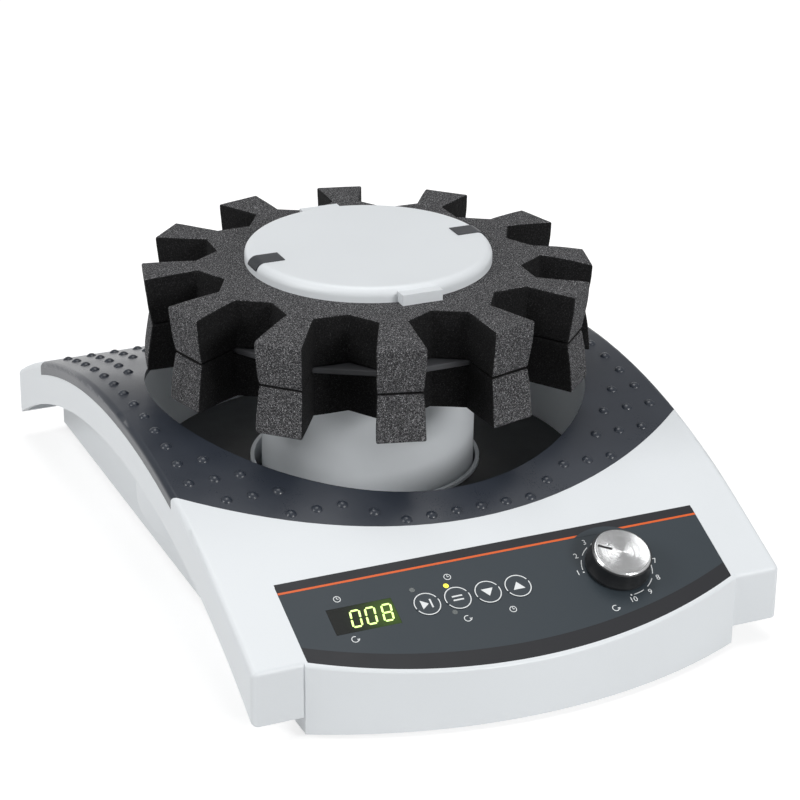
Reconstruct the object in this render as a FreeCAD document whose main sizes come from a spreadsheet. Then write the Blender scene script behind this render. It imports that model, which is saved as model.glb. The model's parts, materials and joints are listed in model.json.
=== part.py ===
import FreeCAD, Part
import math
import os

import Sketcher

# Multi-tube vortex mixer with a two-layer foam head, as a parametric document with one STEP file per piece.
# Millimetres and degrees; +Z is up and the control panel faces -Y.
# The origin lies on the table, under the middle of the mixer's bounding box.
# Heights in the size table that belong to the housing are above its bottom edge, which the feet lift.

SIZES = (
    # Housing
    ("foot_height", 3.0, "housing's bottom edge above the table"),
    ("housing_width", 270.0, "over the side skirts"),
    ("wing_overhang", 25.0, "finger space between a side wall and its skirt"),
    ("wall", 3.0, "moulded wall"),
    ("panel_run", 67.23, "start of the slope to the middle of the bowed front"),
    ("bow_depth", 24.8, "how far the front bows out past its corners"),
    ("bow_height", 60.0, "height over which the bow's setback is reached"),
    ("bow_setback", 10.6, "how far the bow leans back at that height"),
    ("wing_run", 41.43, "start of the slope to the skirts' front ends"),
    ("rear_clear", 15.5, "drive bridge to the outside of the rear wall"),
    ("arch_peak", 84.85, "highest point of the arched top"),
    ("arch_radius", 363.0, "radius of the arched top in front of its highest point"),
    ("arch_shift", 3.0, "highest point of the arch in front of the drive axis"),
    ("rear_height", 36.2, "arched top at the rear wall"),
    ("panel_slope", 23.9, "slope of the flat front, degrees"),
    ("skirt_depth", 22.85, "arched top to the highest point of the skirts' lower edge"),
    ("skirt_tightening", 12.0, "how much smaller the radius of that edge is than the arch's"),
    ("skirt_shift", 2.0, "that edge's centre in front of the arch's"),
    ("edge_round", 3.0, "rounded outer edges"),
    ("bow_round", 1.6, "rounded upper edge of the bow"),
    ("seat_gap", 0.1, "play of a piece laid in its recess"),
    # Top mat
    ("mat_thickness", 3.0, "rubber sheet on the arch"),
    ("mat_lip", 3.0, "width of the lip turned down at the sides"),
    ("mat_lip_depth", 6.8, "depth of that lip"),
    ("mat_front_radius", 212.3, "curve of the mat's front edge"),
    ("mat_front", 17.3, "mat in front of the bowl's hole"),
    ("mat_rear", 15.0, "mat behind the bowl's hole"),
    # Bowl round the column
    ("bowl_radius", 113.0, "inside of the bowl"),
    ("liner_wall", 2.7, "wall of the bowl liner"),
    ("liner_bottom", 23.0, "underside of the bowl liner"),
    ("liner_flange", 3.0, "thickness of the liner's bottom flange"),
    ("bowl_gap", 0.3, "liner to housing and mat"),
    ("floor_edge", 30.0, "bowl floor at the bowl's wall"),
    ("floor_rise", 6.5, "rise of the floor towards the column"),
    ("floor_sheet", 2.5, "thickness of the bowl floor"),
    ("floor_foot", 5.0, "width of the floor's outer foot"),
    ("collar_bore", 57.5, "opening round the column"),
    ("collar_wall", 2.0, "wall of the collar"),
    ("collar_top", 38.0, "upper edge of the collar"),
    ("bowl_post_radius", 4.0, "posts under the bowl liner"),
    ("bowl_post_inset", 15.0, "those posts inside the bowl's wall"),
    # Base plate, bosses and feet
    ("plate_thickness", 2.0, "steel base plate"),
    ("plate_gap", 0.3, "base plate to the housing walls"),
    ("boss_radius", 4.5, "screw bosses in the housing"),
    ("boss_inset", 12.0, "bosses from the side walls' outsides"),
    ("boss_front", 6.0, "front bosses behind the start of the slope"),
    ("boss_rear", 28.5, "rear bosses from the rear wall's outside"),
    ("foot_radius", 9.0, "rubber feet"),
    ("foot_inset", 24.0, "feet from the side walls' outsides"),
    ("foot_front", 32.0, "front feet from the start of the slope"),
    ("foot_rear", 12.5, "rear feet from the rear wall's outside"),
    ("screw_radius", 1.5, "thread of the small screws"),
    ("screw_head_radius", 2.8, "head of the small screws"),
    ("screw_head", 1.8, "head height of the small screws"),
    ("screw_grip", 8.0, "thread length of the small screws"),
    ("thread_gap", 0.05, "screw to its hole"),
    # Control panel
    ("foil_thickness", 0.8, "panel foil"),
    ("foil_half_width", 108.3, "half the foil's width"),
    ("foil_top", 0.8, "foil's upper edge below the start of the slope"),
    ("foil_side", 43.7, "foil's depth along its sides"),
    ("foil_sag", 21.5, "bow of the foil's lower edge"),
    ("window_middle", -74.0, "display window from the middle plane"),
    ("window_along", 26.0, "display window down the slope"),
    ("window_width", 32.0, "display window"),
    ("window_height", 14.8, "display window"),
    ("window_thickness", 1.6, "display window"),
    ("window_ledge", 2.0, "ledge under the window's edge"),
    ("module_gap", 0.4, "display module to window and opening"),
    ("key_first", -42.6, "first key from the middle plane"),
    ("key_pitch", 15.4, "spacing of the keys"),
    ("key_along", 26.2, "keys down the slope"),
    ("key_radius", 6.5, "key cap"),
    ("key_cap", 2.0, "thickness of a key cap"),
    ("key_proud", 0.3, "key above the foil"),
    ("key_stem", 2.6, "radius of a key's stem"),
    ("key_gap", 0.15, "key to foil and housing"),
    ("key_travel", 0.6, "how far a key goes in"),
    ("key_reserve", 0.15, "space left under a pressed key"),
    ("light_radius", 1.3, "status light"),
    ("light_left_side", -46.4, "left status light from the middle plane"),
    ("light_left_along", 16.6, "left status light down the slope"),
    ("light_upper_side", -29.8, "upper status light from the middle plane"),
    ("light_upper_along", 18.0, "upper status light down the slope"),
    ("light_lower_side", -31.6, "lower status light from the middle plane"),
    ("light_lower_along", 33.5, "lower status light down the slope"),
    ("light_gap", 0.05, "status light to its hole"),
    ("knob_side", 55.5, "knob from the middle plane"),
    ("knob_along", 26.3, "knob down the slope"),
    ("knob_foot_radius", 15.8, "knob at the panel"),
    ("knob_top_radius", 14.7, "knob at its top"),
    ("knob_height", 9.8, "knob without its cap"),
    ("knob_lift", 0.5, "knob above the foil"),
    ("knob_wall", 2.4, "wall of the knob's skirt"),
    ("knob_roof", 4.0, "solid top of the knob"),
    ("cap_radius", 14.0, "metal cap on the knob"),
    ("cap_height", 1.4, "metal cap"),
    ("cap_sink", 0.6, "cap let into the knob"),
    ("pot_shaft", 3.0, "radius of the potentiometer's shaft"),
    ("pot_bush", 4.5, "radius of its threaded bush"),
    ("pot_radius", 8.5, "potentiometer body"),
    ("pot_depth", 8.0, "potentiometer body"),
    ("pot_nut_radius", 6.5, "radius over the nut's corners"),
    ("pot_nut_height", 2.2, "nut"),
    ("turn_gap", 0.06, "running play of shafts and pins"),
    ("board_drop", 12.0, "control board below the slope"),
    ("board_sheet", 1.6, "circuit board"),
    ("board_left", -90.0, "control board's left edge"),
    ("board_right", 34.0, "control board's right edge"),
    ("board_upper", 8.0, "control board's upper edge down the slope"),
    ("board_lower", 48.0, "control board's lower edge down the slope"),
    ("standoff_radius", 2.8, "board standoffs"),
    ("standoff_inset", 4.0, "standoffs from the board's edges"),
    ("switch_size", 6.0, "key switch on the board"),
    # Drive
    ("orbit_offset", 1.5, "crank offset, half the orbit"),
    ("pulley_bottom", 3.2, "pulleys above the housing's bottom edge"),
    ("pulley_flange", 0.8, "pulley flange thickness"),
    ("pulley_rim", 1.6, "pulley flange above the groove"),
    ("belt_width", 5.0, "drive belt"),
    ("belt_thickness", 2.0, "drive belt"),
    ("belt_gap", 0.2, "belt to pulley grooves"),
    ("driven_radius", 36.0, "groove of the driven pulley"),
    ("driver_radius", 12.0, "groove of the motor pulley"),
    ("motor_clear", 3.0, "motor can behind the bowl's hole"),
    ("motor_radius", 22.0, "motor can"),
    ("motor_height", 20.0, "motor can"),
    ("motor_shaft_radius", 2.5, "motor shaft"),
    ("motor_shaft_depth", 14.0, "motor shaft inside the can"),
    ("bridge_bottom", 12.0, "drive bridge above the housing's bottom edge"),
    ("bridge_sheet", 3.0, "drive bridge"),
    ("bridge_half_width", 46.0, "drive bridge"),
    ("bridge_front", 52.0, "drive bridge in front of the drive axis"),
    ("bridge_post_side", 40.0, "bridge posts from the middle plane"),
    ("bridge_post_inset", 7.0, "end posts from the bridge's ends"),
    ("bridge_post_middle", 62.0, "middle posts behind the drive axis"),
    ("bridge_post_radius", 4.0, "bridge posts"),
    ("tower_foot_radius", 46.0, "tower's foot and head flanges"),
    ("tower_foot", 4.0, "tower's foot flange"),
    ("tower_tube", 20.0, "tower's tube, outside radius"),
    ("tower_height", 58.0, "bearing tower"),
    ("tower_head", 10.0, "tower's head flange"),
    ("tower_screw_ring_radius", 38.0, "tower screws"),
    ("bearing_radius", 15.0, "main bearings"),
    ("bearing_width", 8.0, "bearings"),
    ("bearing_shoulder", 2.0, "shoulder behind a bearing"),
    ("bearing_fit", 0.02, "bearing to its seat"),
    ("drive_shaft", 6.0, "radius of the drive shaft"),
    ("web_radius", 10.0, "crank web"),
    ("web_height", 3.0, "crank web"),
    ("crank_pin", 5.0, "radius of the crank pin"),
    ("weight_radius", 29.0, "counterweight"),
    ("weight_height", 3.4, "counterweight"),
    ("weight_hub", 11.0, "counterweight's clamping ring"),
    ("rotor_gap", 0.5, "turning parts to the tower"),
    ("guide_ring_radius", 38.0, "guide cranks from the drive axis"),
    ("guide_journal", 4.0, "radius of a guide crank's lower pin"),
    ("guide_pin", 3.0, "radius of a guide crank's upper pin"),
    ("guide_web", 6.0, "radius of a guide crank's web"),
    ("guide_reach", 7.0, "guide pin inside the hub"),
    # Head
    ("foam_bottom", 95.1, "underside of the foam"),
    ("foam_layer", 25.3, "one foam ring"),
    ("foam_radius", 112.3, "drive axis to the flat tooth tips"),
    ("slot_count", 12, "tube slots round the head"),
    ("slot_root", 77.4, "drive axis to the bottom of a slot"),
    ("slot_corner", 85.6, "where a slot's bottom meets its sides"),
    ("slot_corner_half", 15.6, "half a slot's width there"),
    ("slot_mouth_half", 17.3, "half a slot's width at the tips"),
    ("mid_plate_apothem", 85.5, "mid plate, middle to a flat"),
    ("mid_plate", 3.0, "mid plate thickness"),
    ("foam_gap", 0.3, "foam to core and mid plate"),
    ("core_radius", 57.5, "core inside the foam"),
    ("core_wall", 3.0, "core wall"),
    ("core_flange_radius", 70.0, "flange under the foam"),
    ("core_flange", 1.6, "flange under the foam"),
    ("column_radius", 55.0, "head column"),
    ("column_wall", 3.0, "head column"),
    ("column_bottom", 21.0, "lower edge of the head column"),
    ("hub_height", 11.0, "hub in the column's top"),
    ("hub_fit", 0.05, "hub to column"),
    ("hub_ledge", 3.0, "ledge that carries the hub"),
    ("head_bearing_radius", 13.0, "bearing in the hub"),
    ("head_screw_ring_radius", 27.0, "screws through core and hub"),
    # Lid
    ("lid_radius", 62.5, "lid"),
    ("lid_height", 7.3, "lid"),
    ("lid_round", 4.5, "rounded rim of the lid"),
    ("lid_gap", 0.3, "lid to core"),
    ("lid_spigot", 5.0, "spigot that enters the core"),
    ("lid_spigot_wall", 3.0, "spigot wall"),
    ("grip_width", 21.0, "grip tabs"),
    ("grip_reach", 67.5, "drive axis to a grip tab's edge"),
    ("grip_height", 5.4, "grip tabs"),
    ("latch_width", 11.0, "latch"),
    ("latch_inner", 50.0, "latch's inner end"),
    ("latch_outer", 63.0, "latch's outer end"),
    ("latch_sheet", 2.6, "latch plate"),
    ("latch_sink", 2.2, "latch let into the lid"),
    ("latch_lip", 2.2, "finger lip at the latch's outer end"),
    ("latch_lip_drop", 3.8, "finger lip below the lid's top"),
    ("latch_stem_width", 8.0, "latch stem"),
    ("latch_stem_inner", 51.0, "latch stem"),
    ("latch_stem_outer", 53.4, "latch stem"),
    ("latch_travel", 2.5, "how far a latch slides inwards"),
    ("latch_gap", 0.2, "latch to its channel"),
    # Rear
    ("inlet_side", 72.0, "mains inlet from the middle plane"),
    ("inlet_height", 18.0, "mains inlet above the housing's bottom edge"),
    ("inlet_width", 27.0, "inlet body"),
    ("inlet_tall", 19.8, "inlet body"),
    ("inlet_depth", 18.0, "inlet body behind the wall's outer face"),
    ("inlet_rim", 2.0, "inlet flange past its body"),
    ("inlet_flange", 1.5, "inlet flange thickness"),
    ("socket_width", 22.0, "socket of the inlet"),
    ("socket_tall", 14.5, "socket of the inlet"),
    ("socket_depth", 14.0, "socket of the inlet"),
    ("contact_pitch", 7.0, "spacing of the inlet's contacts"),
    ("contact_width", 2.0, "inlet contact"),
    ("contact_tall", 4.0, "inlet contact"),
    ("contact_length", 10.0, "inlet contact"),
    ("switch_side", 34.0, "mains switch from the middle plane"),
    ("switch_half", 11.0, "half the switch frame's opening side"),
    ("switch_tall", 13.0, "switch body"),
    ("switch_depth", 11.0, "switch body"),
    ("switch_rim", 1.5, "switch flange past its body"),
    ("switch_wall", 1.2, "switch frame wall"),
    ("rocker_half", 8.2, "half the rocker's length"),
    ("rocker_tall", 9.6, "rocker"),
    ("rocker_edge", 4.2, "rocker's ends above its pivot"),
    ("rocker_dip", 3.0, "rocker's middle above its pivot"),
    ("rocker_root", 2.4, "rocker below its pivot"),
    ("rocker_tilt", 10.0, "rocker's tilt to either side, degrees"),
    ("rocker_pivot", 2.0, "rocker pivot inside the rear wall"),
    ("rocker_pin", 1.2, "radius of the rocker's pin"),
    ("supply_clear", 6.0, "power supply board from the drive bridge"),
    ("supply_width", 38.0, "power supply board"),
    ("supply_depth", 50.0, "power supply board"),
    ("supply_back", 36.0, "power supply board from the rear wall's outside"),
    ("supply_lift", 8.0, "power supply board above the base plate"),
    ("supply_post", 2.8, "radius of its posts"),
    ("supply_inset", 5.0, "posts from the board's edges"),
    ("choke_height", 12.0, "transformer on the board"),
    ("choke_inset", 9.0, "transformer from the board's edges"),
)

CORNER_SIGNS = ((-1, -1), (1, -1), (1, 1), (-1, 1))
GUIDE_ANGLES = (90, 210, 330)
HEAD_SCREW_ANGLES = (30, 150, 270)
HEXAGON_ANGLES = (0, 60, 120, 180, 240, 300)
BOWL_POST_ANGLES = (45, 135, 225, 315)
KEY_NAMES = ("start_key", "mode_key", "down_key", "up_key")
FULL_TURN = 360
QUARTER_TURN = 90
HALF_TURN = 180
# How near an edge's middle has to lie to count as on a line
NEAR = 0.01
VECTOR = FreeCAD.Vector


class Dim:
    """A size with its value and the spreadsheet expression that gives it."""

    def __init__(self, value, text):
        self.value = float(value)
        self.text = text

    def __add__(self, other):
        other = as_dim(other)
        return Dim(self.value + other.value, f"({self.text} + {other.text})")

    def __radd__(self, other):
        return as_dim(other) + self

    def __sub__(self, other):
        other = as_dim(other)
        return Dim(self.value - other.value, f"({self.text} - {other.text})")

    def __rsub__(self, other):
        return as_dim(other) - self

    def __mul__(self, other):
        other = as_dim(other)
        return Dim(self.value * other.value, f"({self.text} * {other.text})")

    def __rmul__(self, other):
        return as_dim(other) * self

    def __truediv__(self, other):
        other = as_dim(other)
        return Dim(self.value / other.value, f"({self.text} / {other.text})")

    def __rtruediv__(self, other):
        return as_dim(other) / self

    def __neg__(self):
        return as_dim(0) - self


def as_dim(number):
    """A plain number as a size."""
    return number if isinstance(number, Dim) else Dim(number, f"({number:.9g})")


def sine(angle):
    angle = as_dim(angle)
    return Dim(math.sin(math.radians(angle.value)), f"sin({angle.text} * 1 deg)")


def cosine(angle):
    angle = as_dim(angle)
    return Dim(math.cos(math.radians(angle.value)), f"cos({angle.text} * 1 deg)")


def tangent(angle):
    return sine(angle) / cosine(angle)


def square(number):
    return number * number


def root(number):
    return Dim(math.sqrt(number.value), f"sqrt({number.text})")


def bow_radius(half_chord, sag):
    """Radius of the arc over a chord, from half the chord and the arc's height."""
    return (square(half_chord) + square(sag)) / (2 * sag)


class Sheet:
    """The size table: each alias can be read as an attribute."""

    def __init__(self, document, rows):
        self.cells = document.addObject("Spreadsheet::Sheet", "Sizes")
        for row, (alias, value, note) in enumerate(rows, start=1):
            self.cells.set(f"A{row}", note)
            self.cells.set(f"B{row}", str(value))
            self.cells.setAlias(f"B{row}", alias)
            setattr(self, alias, Dim(value, f"Sizes.{alias}"))


doc = FreeCAD.newDocument("vortex_mixer")
size = Sheet(doc, SIZES)
doc.recompute()
pieces = []

# Places shared by several pieces
housing_base = size.foot_height
half_width = size.housing_width / 2
base_half = half_width - size.wing_overhang
canopy = size.mat_thickness + size.wall
rocker_proud = (
    size.rocker_half * sine(size.rocker_tilt)
    + size.rocker_edge * cosine(size.rocker_tilt)
    - size.rocker_pivot
)
bowl_hole = size.bowl_radius + size.liner_wall + size.bowl_gap
motor_distance = bowl_hole + size.motor_clear + size.motor_radius
bridge_rear = motor_distance + size.motor_radius
rear_reach = bridge_rear + size.rear_clear
bend_reach = size.arch_shift + size.arch_radius * sine(size.panel_slope)
front_reach = bend_reach + size.panel_run
axis_y = (front_reach - rear_reach - rocker_proud) / 2
front_y = axis_y - front_reach
rear_y = axis_y + rear_reach
arch_y = axis_y - size.arch_shift
arch_z = housing_base + size.arch_peak - size.arch_radius
rear_arch_radius = bow_radius(rear_reach + size.arch_shift, size.arch_peak - size.rear_height)
rear_arch_z = housing_base + size.arch_peak - rear_arch_radius
bend_y = axis_y - bend_reach
bend_z = arch_z + size.arch_radius * cosine(size.panel_slope)
wing_front_y = bend_y - size.wing_run
bow_corner_y = front_y + size.bow_depth
skirt_radius = size.arch_radius - size.skirt_tightening
skirt_y = arch_y - size.skirt_shift
skirt_peak = housing_base + size.arch_peak - size.skirt_depth
plate_top = housing_base + size.plate_thickness
head_x = size.orbit_offset
foam_bottom = housing_base + size.foam_bottom
foam_middle = foam_bottom + size.foam_layer
foam_top = foam_middle + size.foam_layer
lid_top = foam_top + size.lid_height
bridge_bottom = housing_base + size.bridge_bottom
bridge_top = bridge_bottom + size.bridge_sheet
tower_top = bridge_top + size.tower_height
weight_bottom = tower_top + size.rotor_gap
web_bottom = weight_bottom + size.weight_height
web_top = web_bottom + size.web_height
column_top = foam_bottom - size.core_flange
hub_bottom = column_top - size.hub_height
pulley_bottom = housing_base + size.pulley_bottom
groove_bottom = pulley_bottom + size.pulley_flange
groove_height = size.belt_width + 2 * size.belt_gap
pulley_height = groove_height + 2 * size.pulley_flange
motor_y = axis_y + motor_distance
far_below = housing_base - 5 * size.wall
far_above = lid_top


def origin_plane(body, role):
    """One of a body's own base planes."""
    return next(plane for plane in body.Origin.OriginFeatures if plane.Role == role)


def tie(sketch, kind, places, dim):
    """Add a dimension to a sketch and bind it to the size table."""
    index = sketch.addConstraint(Sketcher.Constraint(kind, *places, dim.value))
    sketch.setExpression(f"Constraints[{index}]", dim.text)


def arc_between(start, way, end):
    """An arc through three points, drawn anticlockwise, and which of its ends, 1 or 2, comes last."""
    circle = Part.Circle(start, way, end)
    centre = VECTOR(circle.Center.x, circle.Center.y, 0)
    anticlockwise = (way - start).cross(end - way).z > 0
    first, last = (start, end) if anticlockwise else (end, start)
    low = math.atan2(first.y - centre.y, first.x - centre.x)
    high = math.atan2(last.y - centre.y, last.x - centre.x)
    if high < low:
        high += 2 * math.pi
    flat_circle = Part.Circle(centre, VECTOR(0, 0, 1), circle.Radius)
    return Part.ArcOfCircle(flat_circle, low, high), 2 if anticlockwise else 1


def draw_loop(sketch, loop):
    """Draw a closed outline; a corner given with a radius and a point on the way is reached by an arc."""
    corners = [[as_dim(corner[0]), as_dim(corner[1]), *corner[2:]] for corner in loop]
    edges = []
    for index, corner in enumerate(corners):
        before = corners[index - 1]
        start = VECTOR(before[0].value, before[1].value, 0)
        end = VECTOR(corner[0].value, corner[1].value, 0)
        if len(corner) > 2:
            way_x, way_y = (as_dim(coordinate) for coordinate in corner[3])
            edge, end_point = arc_between(start, VECTOR(way_x.value, way_y.value, 0), end)
        else:
            edge, end_point = Part.LineSegment(start, end), 2
        edges.append((sketch.addGeometry(edge), end_point))
    for index, (number, end_point) in enumerate(edges):
        after, after_end = edges[(index + 1) % len(edges)]
        sketch.addConstraint(Sketcher.Constraint("Coincident", number, end_point, after, 3 - after_end))
        tie(sketch, "DistanceX", (-1, 1, number, end_point), corners[index][0])
        tie(sketch, "DistanceY", (-1, 1, number, end_point), corners[index][1])
        if len(corners[index]) > 2:
            tie(sketch, "Radius", (number,), as_dim(corners[index][2]))


def draw_circle(sketch, x, y, radius):
    """Draw a circle whose place and radius come from the size table."""
    x, y, radius = as_dim(x), as_dim(y), as_dim(radius)
    circle = Part.Circle(VECTOR(x.value, y.value, 0), VECTOR(0, 0, 1), radius.value)
    number = sketch.addGeometry(circle)
    tie(sketch, "DistanceX", (-1, 1, number, 3), x)
    tie(sketch, "DistanceY", (-1, 1, number, 3), y)
    tie(sketch, "Radius", (number,), radius)


def add_sketch(body, plane, loops=(), circles=(), lift=None):
    """A sketch of outlines and circles on a body's base plane."""
    sketch = body.newObject("Sketcher::SketchObject", f"{body.Name}_sketch")
    sketch.AttachmentSupport = [(origin_plane(body, plane), "")]
    sketch.MapMode = "FlatFace"
    if lift is not None:
        sketch.setExpression("AttachmentOffset.Base.z", as_dim(lift).text)
    for loop in loops:
        draw_loop(sketch, loop)
    for circle in circles:
        draw_circle(sketch, *circle)
    return sketch


def place(piece, x=0, y=0, z=0, tilt=0, turn=None):
    """Put a piece at its place, tilted about X or turned about Z."""
    base = f"vector({as_dim(x).text}; {as_dim(y).text}; {as_dim(z).text})"
    axis, angle = ("0; 0; 1", turn) if turn is not None else ("1; 0; 0", tilt)
    rotation = f"rotation(vector({axis}); {as_dim(angle).text})"
    piece.setExpression("Placement", f"placement({base}; {rotation})")
    return piece


def prism(name, plane, length, loops=(), circles=(), both_ways=False):
    """A body padded from outlines on one of its base planes."""
    body = doc.addObject("PartDesign::Body", name)
    sketch = add_sketch(body, plane, loops, circles)
    pad = body.newObject("PartDesign::Pad", f"{name}_pad")
    pad.Profile = sketch
    pad.Midplane = both_ways
    pad.setExpression("Length", as_dim(length).text)
    return body


def turned(name, profile):
    """A body turned about Z from a profile of radii and heights."""
    body = doc.addObject("PartDesign::Body", name)
    sketch = add_sketch(body, "XZ_Plane", [profile])
    revolution = body.newObject("PartDesign::Revolution", f"{name}_revolution")
    revolution.Profile = sketch
    revolution.ReferenceAxis = (sketch, ["V_Axis"])
    revolution.Angle = FULL_TURN
    return body


def rod(name, radius, bottom, top, x=0, y=0):
    """An upright cylinder between two heights."""
    cylinder = doc.addObject("Part::Cylinder", name)
    cylinder.setExpression("Radius", as_dim(radius).text)
    cylinder.setExpression("Height", (as_dim(top) - bottom).text)
    return place(cylinder, x, y, bottom)


def block(name, x, y, z):
    """A box between pairs of limits."""
    box = doc.addObject("Part::Box", name)
    for side, (low, high) in zip(("Length", "Width", "Height"), (x, y, z)):
        box.setExpression(side, (as_dim(high) - low).text)
    return place(box, x[0], y[0], z[0])


def fuse(name, *shapes):
    """Several shapes joined into one."""
    joined = doc.addObject("Part::MultiFuse", name)
    joined.Shapes = list(shapes)
    joined.Refine = True
    return joined


def common(name, *shapes):
    """What several shapes share."""
    shared = doc.addObject("Part::MultiCommon", name)
    shared.Shapes = list(shapes)
    return shared


def cut(name, base, *tools):
    """A shape with others taken away."""
    remainder = doc.addObject("Part::Cut", name)
    remainder.Base = base
    remainder.Tool = tools[0] if len(tools) == 1 else group(f"{name}_tools", *tools)
    return remainder


def group(name, *shapes):
    """Separate solids kept together under one name."""
    compound = doc.addObject("Part::Compound", name)
    compound.Links = list(shapes)
    return compound


def rounded(name, base, radius, wanted):
    """A shape whose edges that pass a test are rounded."""
    doc.recompute()
    fillet = doc.addObject("Part::Fillet", name)
    fillet.Base = base
    chosen = [number for number, edge in enumerate(base.Shape.Edges, start=1) if wanted(edge)]
    fillet.Edges = [(number, radius.value, radius.value) for number in chosen]
    return fillet


def piece(shape):
    """Count a shape among the finished pieces."""
    shape.Label = shape.Name
    pieces.append(shape)
    return shape


def polar(circle, angle):
    """Place on a circle about the drive axis."""
    return circle * cosine(angle), circle * sine(angle)


def screw(name, x, y, seat, grip, upside_down=False):
    """A small pan-head screw whose head lies on a seat; upside down, it points up."""
    way = -1 if upside_down else 1
    profile = [
        (0, -way * grip),
        (size.screw_radius, -way * grip),
        (size.screw_radius, 0),
        (size.screw_head_radius, 0),
        (size.screw_head_radius, way * size.screw_head),
        (0, way * size.screw_head),
    ]
    return place(turned(name, profile), x, y, seat)


# Housing

def arch_loop(inset, front, rear, bottom):
    """Side view of what lies under the arched top, pulled in by an inset: two arcs and the slope."""
    radius = size.arch_radius - inset
    half_slope = size.panel_slope / 2
    turn_y = arch_y - radius * sine(size.panel_slope)
    turn_z = arch_z + radius * cosine(size.panel_slope)
    front_z = turn_z - (turn_y - front) * tangent(size.panel_slope)
    front_way = (arch_y - radius * sine(half_slope), arch_z + radius * cosine(half_slope))
    rear_radius = rear_arch_radius - inset

    def rear_arc(y):
        return rear_arch_z + root(square(rear_radius) - square(y - arch_y))

    rear_middle = (rear + arch_y) / 2
    return [
        (rear, bottom),
        (rear, rear_arc(rear)),
        (arch_y, arch_z + radius, rear_radius, (rear_middle, rear_arc(rear_middle))),
        (turn_y, turn_z, radius, front_way),
        (front, front_z),
        (front, bottom),
    ]


def under_arch(name, inset, width, front, rear, bottom=None):
    """A block under the arched top."""
    loop = arch_loop(as_dim(inset), front, rear, far_below if bottom is None else bottom)
    return prism(name, "YZ_Plane", width, [loop], both_ways=True)


def skirt_height(y):
    """Height of the skirts' lower edge."""
    return skirt_peak - skirt_radius + root(square(skirt_radius) - square(y - skirt_y))


def wing_block(name):
    """The arched canopy with its skirts, still solid, with its outer edges rounded."""
    loop = arch_loop(as_dim(0), wing_front_y, rear_y, skirt_height(rear_y))
    loop[0] = (*loop[0], skirt_radius, (skirt_y, skirt_peak))
    loop[-1] = (wing_front_y, skirt_height(wing_front_y))
    solid = prism(f"{name}_solid", "YZ_Plane", size.housing_width, [loop], both_ways=True)
    skirt_z = skirt_peak - skirt_radius

    def outer_edge(edge):
        middle = edge.valueAt((edge.FirstParameter + edge.LastParameter) / 2)
        across = abs(middle.x) < NEAR
        smooth = across and min(abs(middle.y - bend_y.value), abs(middle.y - arch_y.value)) < NEAR
        reach = math.hypot(middle.y - skirt_y.value, middle.z - skirt_z.value)
        on_skirt = abs(reach - skirt_radius.value) < NEAR
        return not smooth and not on_skirt

    return rounded(name, solid, size.edge_round, outer_edge)


def bow_loft(name, inset):
    """The bowed front, pulled in by an inset, as a loft that leans back with height."""
    half = base_half - inset
    corner = bow_corner_y + inset
    body = doc.addObject("PartDesign::Body", name)
    sections = []
    for lift, setback in ((0, as_dim(0)), (size.bow_height, size.bow_setback)):
        middle = front_y + inset + setback
        radius = bow_radius(half, corner - middle)
        loop = [
            (-half, bend_y),
            (half, bend_y),
            (half, corner),
            (-half, corner, radius, (0, middle)),
        ]
        sections.append(add_sketch(body, "XY_Plane", [loop], lift=lift))
    loft = body.newObject("PartDesign::AdditiveLoft", f"{name}_loft")
    loft.Profile = sections[0]
    loft.Sections = sections[1:]
    loft.Ruled = True
    return place(body, 0, 0, housing_base)


def bow_block(name):
    """The bowed front under the slope, with its upper edge rounded."""
    past_front = front_y - size.wall
    slope = under_arch(f"{name}_slope", 0, size.housing_width, past_front, rear_y)
    solid = common(f"{name}_solid", bow_loft(f"{name}_loft_body", as_dim(0)), slope)
    fall = tangent(size.panel_slope).value

    def upper_edge(edge):
        middle = edge.valueAt((edge.FirstParameter + edge.LastParameter) / 2)
        slope_z = bend_z.value - (bend_y.value - middle.y) * fall
        return abs(middle.z - slope_z) < NEAR and middle.y < bow_corner_y.value

    return rounded(name, solid, size.bow_round, upper_edge)


def straight_block(name, inset, top_inset, bottom):
    """The straight body between the side walls, under the arch."""
    width = 2 * (base_half - inset)
    return under_arch(name, top_inset, width, bend_y - size.wall, rear_y - inset, bottom)


def cavity(name):
    """The hollow of the straight body and the bowed front."""
    past_front = front_y - size.wall
    slope = under_arch(f"{name}_slope", canopy, size.housing_width, past_front, rear_y)
    bow = common(f"{name}_bow", bow_loft(f"{name}_bow_loft", size.wall), slope)
    return group(name, straight_block(f"{name}_straight", size.wall, canopy, housing_base), bow)


def bowl_bulge(name):
    """The side walls' bulge round the bowl, still solid."""
    low = housing_base + size.liner_bottom - size.bowl_gap - size.wall
    drum = rod(f"{name}_drum", bowl_hole + size.wall, low, far_above, 0, axis_y)
    limit = under_arch(f"{name}_limit", size.edge_round, size.housing_width, wing_front_y, rear_y)
    return common(name, drum, limit)


def wing_hollows(name):
    """The finger spaces behind the two skirts, open below, as far as the bulge round the bowl."""
    loop = arch_loop(canopy, wing_front_y + size.wall, rear_y - size.wall, far_below)
    inside = prism(f"{name}_inside", "YZ_Plane", size.housing_width - 2 * size.wall, [loop], both_ways=True)
    middle = block(
        f"{name}_middle", (-base_half, base_half), (front_y, rear_y), (far_below, far_above)
    )
    return cut(name, inside, middle, bowl_bulge(f"{name}_bulge"))


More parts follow.
